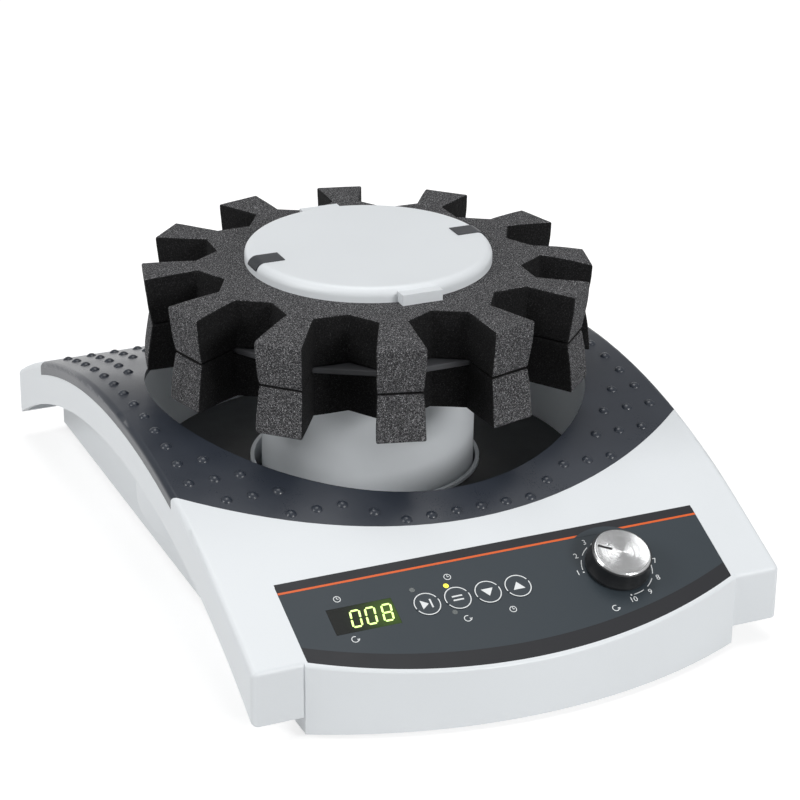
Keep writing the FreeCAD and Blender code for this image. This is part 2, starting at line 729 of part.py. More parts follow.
def mat_shape(name, blank, gap):
    """The mat laid on a blank: a sheet on the arch with lips at the sides, or the recess it lies in."""
    front_radius = size.mat_front_radius + gap
    centre = axis_y - bowl_hole - size.mat_front + size.mat_front_radius
    corner = centre - root(square(front_radius) - square(half_width + size.wall))
    side = half_width + size.wall
    loop = [
        (side, axis_y + bowl_hole + size.mat_rear + gap),
        (-side, axis_y + bowl_hole + size.mat_rear + gap),
        (-side, corner),
        (side, corner, front_radius, (0, centre - front_radius)),
    ]
    outline = prism(f"{name}_outline", "XY_Plane", far_above, [loop])
    sheet_width = size.housing_width - 2 * (size.mat_lip + gap)
    sheet = under_arch(f"{name}_under_sheet", size.mat_thickness + gap, sheet_width, front_y, rear_y)
    lips = under_arch(f"{name}_under_lips", size.mat_lip_depth + gap, 2 * side, front_y, rear_y)
    hole = rod(f"{name}_hole", size.bowl_radius, 0, far_above, 0, axis_y)
    return cut(name, common(f"{name}_blank", blank, outline), sheet, lips, hole)


def boss_places():
    """Where the base plate is screwed to the housing."""
    rows = (bend_y + size.boss_front, rear_y - size.boss_rear)
    return [(side * (base_half - size.boss_inset), row) for row in rows for side in (-1, 1)]


def on_slope(x, along, height=0):
    """A place on the sloping front: sideways, down the slope and above it."""
    along = as_dim(along)
    height = as_dim(height)
    y = bend_y - along * cosine(size.panel_slope) - height * sine(size.panel_slope)
    z = bend_z - along * sine(size.panel_slope) + height * cosine(size.panel_slope)
    return x, y, z


def set_on_slope(shape, x, along, height=0):
    """Put a shape square to the sloping front."""
    return place(shape, *on_slope(x, along, height), tilt=size.panel_slope)


def foil_loop(gap):
    """Outline of the panel foil about the start of the slope."""
    half = size.foil_half_width + gap
    lower = -(size.foil_side + gap)
    radius = bow_radius(half, size.foil_sag)
    return [
        (-half, gap - size.foil_top),
        (half, gap - size.foil_top),
        (half, lower),
        (-half, lower, radius, (0, lower - size.foil_sag)),
    ]


def box_loop(half_x, half_y):
    """A rectangle about its middle."""
    return [(sign_x * half_x, sign_y * half_y) for sign_x, sign_y in CORNER_SIGNS]


def key_places():
    """Each key's name and place across the panel."""
    return [(name, size.key_first + index * size.key_pitch) for index, name in enumerate(KEY_NAMES)]


def light_places():
    """Where the status lights stand, sideways and down the slope."""
    return (
        (size.light_left_side, size.light_left_along),
        (size.light_upper_side, size.light_upper_along),
        (size.light_lower_side, size.light_lower_along),
    )


def panel_openings(name):
    """Everything that the sloping front is cut for: foil, window, keys, lights and knob bush."""
    deep = 2 * canopy
    recess = prism(f"{name}_foil", "XY_Plane", canopy, [foil_loop(size.seat_gap)])
    set_on_slope(recess, 0, 0, -size.foil_thickness - size.seat_gap)
    tools = [recess]
    half_x, half_y = size.window_width / 2 + size.seat_gap, size.window_height / 2 + size.seat_gap
    seat = prism(f"{name}_window", "XY_Plane", canopy, [box_loop(half_x, half_y)])
    tools.append(set_on_slope(seat, size.window_middle, size.window_along, -size.window_thickness))
    ledge = size.window_ledge
    view = prism(f"{name}_view", "XY_Plane", 2 * deep, [box_loop(half_x - ledge, half_y - ledge)])
    tools.append(set_on_slope(view, size.window_middle, size.window_along, -deep))
    for key, x in key_places():
        bore = key_profile(size.key_gap, size.key_travel + size.key_reserve, deep)
        tools.append(set_on_slope(turned(f"{name}_{key}", bore), x, size.key_along))
    for index, (x, along) in enumerate(light_places(), start=1):
        hole = rod(f"{name}_light_{index}", size.light_radius + size.light_gap, 0, 2 * deep)
        tools.append(set_on_slope(hole, x, along, -deep))
    bush = rod(f"{name}_bush", size.pot_bush + size.thread_gap, 0, 2 * deep)
    tools.append(set_on_slope(bush, size.knob_side, size.knob_along, -deep))
    return tools


def rear_openings(name):
    """Cut-outs of the rear wall for the mains inlet and the mains switch."""
    through = (rear_y - 2 * size.wall, rear_y + size.wall)
    gap = size.seat_gap
    inlet_z = housing_base + size.inlet_height
    inlet_half, inlet_tall = size.inlet_width / 2 + gap, size.inlet_tall / 2 + gap
    inlet = block(
        f"{name}_inlet",
        (size.inlet_side - inlet_half, size.inlet_side + inlet_half),
        through,
        (inlet_z - inlet_tall, inlet_z + inlet_tall),
    )
    switch_half, switch_tall = size.switch_half + gap, size.switch_tall / 2 + gap
    switch = block(
        f"{name}_switch",
        (size.switch_side - switch_half, size.switch_side + switch_half),
        through,
        (inlet_z - switch_tall, inlet_z + switch_tall),
    )
    return [inlet, switch]


def make_upper_housing(canopy_block):
    """The white moulding: canopy, skirts, walls and bowed front, with its screw bosses."""
    body = straight_block("housing_body", as_dim(0), size.edge_round, housing_base)
    bow = bow_block("housing_bow")
    outside = fuse("housing_outside", canopy_block, body, bow, bowl_bulge("housing_bulge"))
    recess = mat_shape("housing_mat_recess", canopy_block_above("housing_above"), size.seat_gap)
    hole_floor = housing_base + size.liner_bottom - size.bowl_gap
    hole = rod("housing_bowl_hole", bowl_hole, hole_floor, far_above, 0, axis_y)
    shell = cut(
        "housing_shell",
        outside,
        cavity("housing_cavity"),
        wing_hollows("housing_wing_hollows"),
        recess,
        hole,
        *panel_openings("housing_panel"),
        *rear_openings("housing_rear"),
    )
    under = under_arch("housing_boss_limit", canopy - size.wall / 2, 2 * base_half, front_y, rear_y)
    posts = [
        rod(f"housing_boss_{index}", size.boss_radius, plate_top, far_above, x, y)
        for index, (x, y) in enumerate(boss_places(), start=1)
    ]
    bosses = common("housing_bosses", group("housing_boss_posts", *posts), under)
    hole_radius = size.screw_radius + size.thread_gap
    hole_top = plate_top + size.screw_grip
    holes = [
        rod(f"housing_boss_hole_{index}", hole_radius, 0, hole_top, x, y)
        for index, (x, y) in enumerate(boss_places(), start=1)
    ]
    return piece(cut("upper_housing", fuse("housing_with_bosses", shell, bosses), *holes))


def canopy_block_above(name):
    """A block that reaches past the arched top, for cutting the mat's recess."""
    return under_arch(name, -2 * size.wall, size.housing_width + 2 * size.wall, front_y, rear_y)


def make_top_mat(canopy_block):
    """The rubber mat on the arch; its bumps are surface detail."""
    return piece(mat_shape("top_mat", canopy_block, as_dim(0)))


# Bowl

def make_bowl_liner():
    """White bowl: a wall that ends under the mat and a flange that carries the floor."""
    bottom = housing_base + size.liner_bottom
    outer = size.bowl_radius + size.liner_wall
    profile = [
        (size.collar_bore, bottom),
        (outer, bottom),
        (outer, far_above),
        (size.bowl_radius, far_above),
        (size.bowl_radius, bottom + size.liner_flange),
        (size.collar_bore, bottom + size.liner_flange),
    ]
    cup = place(turned("bowl_liner_cup", profile), 0, axis_y)
    top = under_arch("bowl_liner_top", size.mat_thickness + size.bowl_gap, size.housing_width, front_y, rear_y)
    return piece(common("bowl_liner", cup, top))


def make_bowl_floor():
    """Dark floor: a shallow cone that stands on the liner's flange by its outer foot."""
    seat = housing_base + size.liner_bottom + size.liner_flange
    outer = size.bowl_radius - size.bowl_gap
    inner = size.collar_bore + size.collar_wall + size.bowl_gap
    edge = housing_base + size.floor_edge
    profile = [
        (outer, seat),
        (outer, edge),
        (inner, edge + size.floor_rise),
        (inner, edge + size.floor_rise - size.floor_sheet),
        (outer - size.floor_foot, edge - size.floor_sheet),
        (outer - size.floor_foot, seat),
    ]
    return piece(place(turned("bowl_floor", profile), 0, axis_y))


def make_column_collar():
    """Thin white ring round the opening for the column."""
    seat = housing_base + size.liner_bottom + size.liner_flange
    top = housing_base + size.collar_top
    outer = size.collar_bore + size.collar_wall
    profile = [(size.collar_bore, seat), (outer, seat), (outer, top), (size.collar_bore, top)]
    return piece(place(turned("column_collar", profile), 0, axis_y))


def make_bowl_posts():
    """Posts that carry the bowl liner on the base plate."""
    top = housing_base + size.liner_bottom
    posts = []
    for index, angle in enumerate(BOWL_POST_ANGLES, start=1):
        x, y = polar(size.bowl_radius - size.bowl_post_inset, angle)
        posts.append(rod(f"bowl_post_{index}", size.bowl_post_radius, plate_top, top, x, axis_y + y))
    return piece(group("bowl_posts", *posts))


# Base plate and feet

def foot_places():
    """Where the feet stand."""
    rows = (bend_y - size.foot_front, rear_y - size.foot_rear)
    return [(side * (base_half - size.foot_inset), row) for row in rows for side in (-1, 1)]


def make_base_plate():
    """Steel plate that closes the housing below."""
    inset = size.wall + size.plate_gap
    half = base_half - inset
    corner = bow_corner_y + inset
    lean = size.bow_setback * size.plate_thickness / size.bow_height
    middle = front_y + inset + lean
    loop = [
        (-half, rear_y - inset),
        (-half, corner),
        (half, corner, bow_radius(half, corner - middle), (0, middle)),
        (half, rear_y - inset),
    ]
    radius = size.screw_radius + size.thread_gap
    holes = [(x, y, radius) for x, y in boss_places()]
    plate = prism("base_plate", "XY_Plane", size.plate_thickness, [loop], holes)
    return piece(place(plate, z=housing_base))


def make_feet():
    """Four rubber feet under the base plate."""
    feet = [
        rod(f"foot_{index}", size.foot_radius, 0, size.foot_height, x, y)
        for index, (x, y) in enumerate(foot_places(), start=1)
    ]
    return piece(group("rubber_feet", *feet))


def make_base_screws():
    """Screws from below through the base plate into the bosses."""
    grip = size.plate_thickness + size.screw_grip - size.thread_gap
    screws = [
        screw(f"base_screw_{index}", x, y, housing_base, grip, upside_down=True)
        for index, (x, y) in enumerate(boss_places(), start=1)
    ]
    return piece(group("base_screws", *screws))


# Control panel

def make_panel_foil():
    """Slate foil let into the slope, with its openings."""
    window = box_loop(size.window_width / 2 + size.seat_gap, size.window_height / 2 + size.seat_gap)
    window = [(x + size.window_middle, y - size.window_along) for x, y in window]
    holes = [(x, -size.key_along, size.key_radius + size.key_gap) for _, x in key_places()]
    holes += [(x, -along, size.light_radius + size.light_gap) for x, along in light_places()]
    holes.append((size.knob_side, -size.knob_along, size.pot_bush + size.thread_gap))
    foil = prism("panel_foil", "XY_Plane", size.foil_thickness, [foil_loop(as_dim(0)), window], holes)
    return piece(set_on_slope(foil, 0, 0, -size.foil_thickness))


def make_display():
    """Dark window in the panel and the display module behind it."""
    window = prism(
        "display_window",
        "XY_Plane",
        size.window_thickness,
        [box_loop(size.window_width / 2, size.window_height / 2)],
    )
    piece(set_on_slope(window, size.window_middle, size.window_along, -size.window_thickness))
    inset = size.window_ledge + size.module_gap
    height = size.board_drop - size.window_thickness - size.module_gap
    half_x, half_y = size.window_width / 2 - inset, size.window_height / 2 - inset
    module = prism("display_module", "XY_Plane", height, [box_loop(half_x, half_y)])
    piece(set_on_slope(module, size.window_middle, size.window_along, -size.board_drop))


def key_profile(gap, sink, stem_depth):
    """A key's cap and stem, or with a gap and a sink the bore that it moves in."""
    top = size.key_proud + gap
    cap_bottom = top - size.key_cap - sink - gap
    return [
        (0, -stem_depth),
        (size.key_stem + gap, -stem_depth),
        (size.key_stem + gap, cap_bottom),
        (size.key_radius + gap, cap_bottom),
        (size.key_radius + gap, top),
        (0, top),
    ]


def make_keys():
    """Four round keys with stems that reach down to their switches."""
    stem = size.board_drop - size.switch_size / 2 - size.key_travel - size.key_reserve
    for name, x in key_places():
        key = turned(name, key_profile(as_dim(0), as_dim(0), stem))
        piece(set_on_slope(key, x, size.key_along))


def make_key_switches():
    """One switch on the board under each key."""
    half = size.switch_size / 2
    switches = []
    for name, x in key_places():
        body = prism(f"{name}_switch", "XY_Plane", half, [box_loop(half, half)])
        switches.append(set_on_slope(body, x, size.key_along, -size.board_drop))
    return piece(group("key_switches", *switches))


def make_status_lights():
    """Three light pipes from the board to the panel's face."""
    lights = []
    for index, (x, along) in enumerate(light_places(), start=1):
        pipe = rod(f"status_light_{index}", size.light_radius, 0, size.board_drop)
        lights.append(set_on_slope(pipe, x, along, -size.board_drop))
    return piece(group("status_lights", *lights))


def standoff_places():
    """Corners of the control board, sideways and down the slope."""
    inset = size.standoff_inset
    columns = (size.board_left + inset, size.board_right - inset)
    rows = (size.board_upper + inset, size.board_lower - inset)
    return [(x, along) for x in columns for along in rows]


def make_control_board():
    """Circuit board hung under the slope, with its standoffs and screws."""
    hole = size.screw_radius + size.thread_gap
    loop = [
        (size.board_left, -size.board_lower),
        (size.board_right, -size.board_lower),
        (size.board_right, -size.board_upper),
        (size.board_left, -size.board_upper),
    ]
    holes = [(x, -along, hole) for x, along in standoff_places()]
    board = prism("control_board", "XY_Plane", size.board_sheet, [loop], holes)
    piece(set_on_slope(board, 0, 0, -size.board_drop - size.board_sheet))
    standoffs = []
    screws = []
    length = size.board_drop - canopy
    for index, (x, along) in enumerate(standoff_places(), start=1):
        circles = [(0, 0, size.standoff_radius), (0, 0, hole)]
        tube = prism(f"board_standoff_{index}", "XY_Plane", length, circles=circles)
        standoffs.append(set_on_slope(tube, x, along, -size.board_drop))
        grip = size.board_sheet + length - size.thread_gap
        profile = [
            (0, grip),
            (size.screw_radius, grip),
            (size.screw_radius, 0),
            (size.screw_head_radius, 0),
            (size.screw_head_radius, -size.screw_head),
            (0, -size.screw_head),
        ]
        fastener = turned(f"board_screw_{index}", profile)
        screws.append(set_on_slope(fastener, x, along, -size.board_drop - size.board_sheet))
    piece(group("board_standoffs", *standoffs))
    piece(group("board_screws", *screws))


def make_speed_knob():
    """Knob, metal cap, shaft, potentiometer and nut, square to the slope."""
    lift = size.knob_lift
    top = lift + size.knob_height
    shaft_hole = size.pot_shaft + size.bearing_fit
    profile = [
        (size.knob_foot_radius, lift),
        (size.knob_top_radius, top),
        (size.cap_radius + size.bearing_fit, top),
        (size.cap_radius + size.bearing_fit, top - size.cap_sink),
        (shaft_hole, top - size.cap_sink),
        (shaft_hole, top - size.knob_roof),
        (size.knob_top_radius - size.knob_wall, top - size.knob_roof),
        (size.knob_foot_radius - size.knob_wall, lift),
    ]
    knob = turned("speed_knob", profile)
    piece(set_on_slope(knob, size.knob_side, size.knob_along))
    cap = rod("knob_cap", size.cap_radius, 0, size.cap_height)
    piece(set_on_slope(cap, size.knob_side, size.knob_along, top - size.cap_sink))
    shaft_bottom = -canopy - size.pot_depth / 2
    shaft = rod("potentiometer_shaft", size.pot_shaft, 0, top - size.cap_sink - shaft_bottom)
    piece(set_on_slope(shaft, size.knob_side, size.knob_along, shaft_bottom))
    bore = size.pot_shaft + size.turn_gap
    bush_top = size.pot_nut_height + 2 * size.thread_gap
    body = [
        (bore, shaft_bottom - size.turn_gap),
        (0, shaft_bottom - size.turn_gap),
        (0, -canopy - size.pot_depth),
        (size.pot_radius, -canopy - size.pot_depth),
        (size.pot_radius, -canopy),
        (size.pot_bush, -canopy),
        (size.pot_bush, bush_top),
        (bore, bush_top),
    ]
    potentiometer = turned("speed_potentiometer", body)
    piece(set_on_slope(potentiometer, size.knob_side, size.knob_along))
    corners = [polar(size.pot_nut_radius, angle) for angle in HEXAGON_ANGLES]
    hole = [(0, 0, size.pot_bush + size.thread_gap)]
    nut = prism("potentiometer_nut", "XY_Plane", size.pot_nut_height, [corners], hole)
    piece(set_on_slope(nut, size.knob_side, size.knob_along))


# Drive

def bridge_post_places():
    """Where the drive bridge stands on its posts."""
    rows = (
        axis_y - size.bridge_front + size.bridge_post_inset,
        axis_y + size.bridge_post_middle,
        axis_y + bridge_rear - size.bridge_post_inset,
    )
    return [(side * size.bridge_post_side, row) for row in rows for side in (-1, 1)]


def tower_screw_places():
    """Where the tower is screwed to the bridge."""
    circle = [polar(size.tower_screw_ring_radius, angle) for angle in HEXAGON_ANGLES]
    return [(x, axis_y + y) for x, y in circle]


def make_drive_bridge():
    """Steel plate on posts that carries the bearing tower and the motor."""
    loop = [
        (-size.bridge_half_width, axis_y - size.bridge_front),
        (size.bridge_half_width, axis_y - size.bridge_front),
        (size.bridge_half_width, axis_y + bridge_rear),
        (-size.bridge_half_width, axis_y + bridge_rear),
    ]
    hole = size.screw_radius + size.thread_gap
    holes = [(x, y, hole) for x, y in bridge_post_places() + tower_screw_places()]
    holes.append((0, axis_y, size.drive_shaft + size.bearing_shoulder))
    holes.append((0, motor_y, size.motor_shaft_radius + size.bearing_shoulder))
    bridge = prism("drive_bridge", "XY_Plane", size.bridge_sheet, [loop], holes)
    piece(place(bridge, z=bridge_bottom))
    posts = []
    screws = []
    for index, (x, y) in enumerate(bridge_post_places(), start=1):
        circles = [(0, 0, size.bridge_post_radius), (0, 0, hole)]
        post = prism(f"bridge_post_{index}", "XY_Plane", bridge_bottom - plate_top, circles=circles)
        posts.append(place(post, x, y, plate_top))
        screws.append(screw(f"bridge_screw_{index}", x, y, bridge_top, size.screw_grip + size.bridge_sheet))
    piece(group("bridge_posts", *posts))
    piece(group("bridge_screws", *screws))


def make_bearing_tower():
    """Turned tower inside the column: bearing seats at both ends and bores for the guide cranks."""
    seat = size.bearing_radius + size.bearing_fit
    throat = size.bearing_radius - size.bearing_shoulder
    seat_depth = size.bearing_width + size.bearing_fit
    height = size.tower_height
    profile = [
        (seat, 0),
        (size.tower_foot_radius, 0),
        (size.tower_foot_radius, size.tower_foot),
        (size.tower_tube, size.tower_foot),
        (size.tower_tube, height - size.tower_head),
        (size.tower_foot_radius, height - size.tower_head),
        (size.tower_foot_radius, height),
        (seat, height),
        (seat, height - seat_depth),
        (throat, height - seat_depth),
        (throat, seat_depth),
        (seat, seat_depth),
    ]
    blank = place(turned("bearing_tower_blank", profile), 0, axis_y, bridge_top)
    bores = []
    for index, angle in enumerate(GUIDE_ANGLES, start=1):
        x, y = polar(size.guide_ring_radius, angle)
        low = tower_top - size.tower_head - size.wall
        radius = size.guide_journal + size.turn_gap
        bores.append(rod(f"tower_guide_bore_{index}", radius, low, far_above, x, axis_y + y))
    hole = size.screw_radius + size.thread_gap
    for index, (x, y) in enumerate(tower_screw_places(), start=1):
        top = bridge_top + size.tower_foot + size.wall
        bores.append(rod(f"tower_screw_hole_{index}", hole, bridge_bottom, top, x, y))
    piece(cut("bearing_tower", blank, *bores))
    grip = size.tower_foot + size.bridge_sheet
    screws = [
        screw(f"tower_screw_{index}", x, y, bridge_top + size.tower_foot, grip)
        for index, (x, y) in enumerate(tower_screw_places(), start=1)
    ]
    piece(group("tower_screws", *screws))


def bearing(name, bore, outside):
    """A closed ball bearing as one ring."""
    return prism(name, "XY_Plane", size.bearing_width, circles=[(0, 0, outside), (0, 0, bore)])


def make_main_bearings():
    """Two ball bearings in the tower."""
    bore = size.drive_shaft + size.turn_gap
    lower = place(bearing("main_bearing_lower", bore, size.bearing_radius), 0, axis_y, bridge_top)
    upper = bearing("main_bearing_upper", bore, size.bearing_radius)
    place(upper, 0, axis_y, tower_top - size.bearing_width)
    return piece(group("main_bearings", lower, upper))


def make_eccentric():
    """Drive shaft with its crank web and pin, the driven pulley and the counterweight."""
    shaft = rod("eccentric_straight", size.drive_shaft, pulley_bottom, web_bottom, 0, axis_y)
    web = rod("eccentric_web", size.web_radius, web_bottom, web_top, 0, axis_y)
    pin_top = hub_bottom + size.bearing_width + size.bearing_shoulder / 2
    pin = rod("eccentric_pin", size.crank_pin, web_top, pin_top, head_x, axis_y)
    piece(fuse("eccentric_shaft", shaft, web, pin))
    piece(place(pulley("driven_pulley", size.driven_radius, size.drive_shaft), 0, axis_y, pulley_bottom))
    reach = size.weight_radius
    disc = rod("counterweight_disc", reach, weight_bottom, web_bottom, 0, axis_y)
    half = block("counterweight_half", (-2 * reach, 0), (axis_y - reach, axis_y + reach), (0, far_above))
    ring = rod("counterweight_ring", size.weight_hub, weight_bottom, web_bottom, 0, axis_y)
    bore = rod("counterweight_bore", size.drive_shaft + size.bearing_fit, 0, far_above, 0, axis_y)
    sector = common("counterweight_sector", disc, half)
    piece(cut("counterweight", fuse("counterweight_blank", sector, ring), bore))


def pulley(name, groove, shaft):
    """A flanged belt pulley about Z."""
    rim = groove + size.pulley_rim
    low = size.pulley_flange
    high = low + groove_height
    bore = shaft + size.bearing_fit
    profile = [
        (bore, 0),
        (rim, 0),
        (rim, low),
        (groove, low),
        (groove, high),
        (rim, high),
        (rim, pulley_height),
        (bore, pulley_height),
    ]
    return turned(name, profile)


def belt_loop(offset):
    """Open belt round both pulleys, at an offset from their grooves."""
    big = size.driven_radius + offset
    small = size.driver_radius + offset
    lean = (big - small) / motor_distance
    across = root(1 - square(lean))
    return [
        (-small * across, motor_y + small * lean, small, (0, motor_y + small)),
        (-big * across, axis_y + big * lean),
        (big * across, axis_y + big * lean, big, (0, axis_y - big)),
        (small * across, motor_y + small * lean),
    ]


def make_motor():
    """Flat motor on the bridge, its shaft and pulley below, and the belt to the driven pulley."""
    can_bore = rod(
        "motor_bore",
        size.motor_shaft_radius + size.turn_gap,
        0,
        bridge_top + size.motor_shaft_depth + size.turn_gap,
        0,
        motor_y,
    )
    can = rod("motor_can", size.motor_radius, bridge_top, bridge_top + size.motor_height, 0, motor_y)
    piece(cut("motor", can, can_bore))
    shaft_top = bridge_top + size.motor_shaft_depth
    piece(rod("motor_shaft", size.motor_shaft_radius, pulley_bottom, shaft_top, 0, motor_y))
    driver = pulley("motor_pulley", size.driver_radius, size.motor_shaft_radius)
    piece(place(driver, 0, motor_y, pulley_bottom))
    inside = belt_loop(size.belt_gap)
    outside = belt_loop(size.belt_gap + size.belt_thickness)
    belt = prism("drive_belt", "XY_Plane", size.belt_width, [outside, inside])
    piece(place(belt, z=groove_bottom + size.belt_gap))


def make_guide_cranks():
    """Three small cranks between tower and hub that keep the head from turning."""
    for index, angle in enumerate(GUIDE_ANGLES, start=1):
        x, y = polar(size.guide_ring_radius, angle)
        y = axis_y + y
        name = f"guide_crank_{index}"
        web_low = tower_top + size.rotor_gap
        journal = rod(f"{name}_journal", size.guide_journal, tower_top - size.tower_head, web_low, x, y)
        web = rod(f"{name}_web", size.guide_web, web_low, web_bottom, x, y)
        pin = rod(f"{name}_pin", size.guide_pin, web_bottom, hub_bottom + size.guide_reach, x + head_x, y)
        piece(fuse(name, journal, web, pin))


# Head

def make_head_column():
    """White hollow column with a ledge that carries the hub."""
    inner = size.column_radius - size.column_wall
    ledge = inner - size.hub_ledge
    bottom = housing_base + size.column_bottom
    profile = [
        (inner, bottom),
        (size.column_radius, bottom),
        (size.column_radius, column_top),
        (inner, column_top),
        (inner, hub_bottom),
        (ledge, hub_bottom),
        (ledge, hub_bottom - size.hub_ledge),
        (inner, hub_bottom - size.hub_ledge),
    ]
    return piece(place(turned("head_column", profile), head_x, axis_y))


def head_screw_places():
    """Where core and hub are screwed together."""
    circle = [polar(size.head_screw_ring_radius, angle) for angle in HEAD_SCREW_ANGLES]
    return [(head_x + x, axis_y + y) for x, y in circle]


def make_head_hub():
    """Metal hub in the column's top, with its bearing and the bores for the guide pins."""
    outer = size.column_radius - size.column_wall - size.hub_fit
    blank = rod("head_hub_blank", outer, hub_bottom, column_top, head_x, axis_y)
    seat_radius = size.head_bearing_radius + size.bearing_fit
    seat_top = hub_bottom + size.bearing_width + size.bearing_fit
    tools = [
        rod("head_hub_seat", seat_radius, 0, seat_top, head_x, axis_y),
        rod("head_hub_relief", seat_radius - size.bearing_shoulder, 0, far_above, head_x, axis_y),
    ]
    for index, angle in enumerate(GUIDE_ANGLES, start=1):
        x, y = polar(size.guide_ring_radius, angle)
        top = hub_bottom + size.guide_reach + size.rotor_gap
        radius = size.guide_pin + size.turn_gap
        tools.append(rod(f"head_hub_guide_{index}", radius, 0, top, head_x + x, axis_y + y))
    hole = size.screw_radius + size.thread_gap
    for index, (x, y) in enumerate(head_screw_places(), start=1):
        tools.append(rod(f"head_hub_screw_{index}", hole, 0, far_above, x, y))
    piece(cut("head_hub", blank, *tools))
    ring = bearing("head_bearing", size.crank_pin + size.turn_gap, size.head_bearing_radius)
    piece(place(ring, head_x, axis_y, hub_bottom))
    screws = [
        screw(f"head_screw_{index}", x, y, foam_bottom, size.core_flange + size.screw_grip)
        for index, (x, y) in enumerate(head_screw_places(), start=1)
    ]
    piece(group("head_screws", *screws))


def make_foam_core():
    """Drum inside the foam, with a flange that carries it."""
    inner = size.core_radius - size.core_wall
    profile = [
        (0, column_top),
        (size.core_flange_radius, column_top),
        (size.core_flange_radius, foam_bottom),
        (size.core_radius, foam_bottom),
        (size.core_radius, foam_top),
        (inner, foam_top),
        (inner, foam_bottom),
        (0, foam_bottom),
    ]
    drum = place(turned("foam_core_drum", profile), head_x, axis_y)
    hole = size.screw_radius + size.thread_gap
    holes = [
        rod(f"foam_core_hole_{index}", hole, 0, far_above, x, y)
        for index, (x, y) in enumerate(head_screw_places(), start=1)
    ]
    return piece(cut("foam_core", drum, *holes))


def foam_ring(name):
    """One foam ring below its own joint face, with teeth and slots."""
    body = doc.addObject("PartDesign::Body", name)
    half_step = HALF_TURN / size.slot_count
    corner_radius = size.foam_radius / cosine(half_step)
    count = int(size.slot_count.value)
    outline = [polar(corner_radius, 2 * index * half_step - QUARTER_TURN) for index in range(count)]
    bore = (0, 0, size.core_radius + size.foam_gap)
    pad = body.newObject("PartDesign::Pad", f"{name}_pad")
    pad.Profile = add_sketch(body, "XY_Plane", [outline], [bore])
    pad.Reversed = True
    pad.setExpression("Length", size.foam_layer.text)
    run_out = corner_radius + size.wall
    flare = (size.slot_mouth_half - size.slot_corner_half) / (size.foam_radius - size.slot_corner)
    run_out_half = size.slot_corner_half + flare * (run_out - size.slot_corner)
    slot = [
        (0, -size.slot_root),
        (-size.slot_corner_half, -size.slot_corner),
        (-run_out_half, -run_out),
        (run_out_half, -run_out),
        (size.slot_corner_half, -size.slot_corner),
    ]
    pocket = body.newObject("PartDesign::Pocket", f"{name}_slot")
    pocket.Profile = add_sketch(body, "XY_Plane", [slot])
    pocket.Type = "ThroughAll"
    doc.recompute()
    pattern = body.newObject("PartDesign::PolarPattern", f"{name}_slots")
    pattern.Originals = [pocket]
    pattern.Axis = (origin_plane(body, "Z_Axis"), [""])
    pattern.Angle = FULL_TURN
    pattern.setExpression("Occurrences", size.slot_count.text)
    body.Tip = pattern
    return body


def make_foam():
    """Two foam rings, joint face to joint face, with the mid plate let into the lower one."""
    half_step = HALF_TURN / size.slot_count
    corner = size.mid_plate_apothem / cosine(half_step)
    lower = foam_ring("lower_foam")
    doc.recompute()
    seat = lower.newObject("PartDesign::Pocket", "lower_foam_seat")
    seat.Profile = add_sketch(lower, "XY_Plane", [], [(0, 0, corner + size.foam_gap)])
    seat.setExpression("Length", size.mid_plate.text)
    lower.Tip = seat
    piece(place(lower, head_x, axis_y, foam_middle))
    piece(place(foam_ring("upper_foam"), head_x, axis_y, foam_middle, tilt=HALF_TURN))
    count = int(size.slot_count.value)
    outline = [polar(corner, (2 * index + 1) * half_step - QUARTER_TURN) for index in range(count)]
    bore = [(0, 0, size.core_radius + size.foam_gap)]
    plate = prism("mid_plate", "XY_Plane", size.mid_plate, [outline], bore)
    piece(place(plate, head_x, axis_y, foam_middle - size.mid_plate))


# Lid

def make_lid():
    """White lid with two grip tabs, channels for the latches and a spigot that enters the core."""
    rim = size.lid_radius
    spigot = size.core_radius - size.core_wall - size.lid_gap
    low = foam_top - size.lid_spigot
    bend = size.lid_round
    arc_way = (rim - bend + bend * sine(HALF_TURN / 4), lid_top - bend + bend * cosine(HALF_TURN / 4))
    profile = [
        (0, foam_top),
        (spigot - size.lid_spigot_wall, foam_top),
        (spigot - size.lid_spigot_wall, low),
        (spigot, low),
        (spigot, foam_top),
        (rim, foam_top),
        (rim, lid_top - bend),
        (rim - bend, lid_top, bend, arc_way),
        (0, lid_top),
    ]
    disc = place(turned("lid_disc", profile), head_x, axis_y)
    grip_half = size.grip_width / 2
    grips = block(
        "lid_grips",
        (head_x - grip_half, head_x + grip_half),
        (axis_y - size.grip_reach, axis_y + size.grip_reach),
        (foam_top, foam_top + size.grip_height),
    )
    middle = rod("lid_grip_middle", rim - size.lid_round, foam_top, lid_top, head_x, axis_y)
    blank = fuse("lid_blank", disc, cut("lid_grip_tabs", grips, middle))
    tools = []
    gap = size.latch_gap
    channel_half = size.latch_width / 2 + gap
    stem_half = size.latch_stem_width / 2 + gap
    for side, name in ((-1, "left"), (1, "right")):
        channel = (size.latch_inner - size.latch_travel - gap, size.latch_outer + size.wall)
        notch = (size.latch_outer - size.latch_lip - size.latch_travel - gap, size.latch_outer + size.wall)
        slot = (size.latch_stem_inner - size.latch_travel - gap, size.latch_stem_outer + gap)
        channel_floor = lid_top - size.latch_sink
        notch_floor = lid_top - size.latch_lip_drop - gap
        spans = (
            (f"lid_channel_{name}", channel, channel_half, (channel_floor, far_above + size.wall)),
            (f"lid_notch_{name}", notch, channel_half, (notch_floor, far_above + size.wall)),
            (f"lid_slot_{name}", slot, stem_half, (foam_bottom, far_above + size.wall)),
        )
        for tool, (near, far), half, heights in spans:
            x = (head_x + near, head_x + far) if side > 0 else (head_x - far, head_x - near)
            tools.append(block(tool, x, (axis_y - half, axis_y + half), heights))
    return piece(cut("lid", blank, *tools))


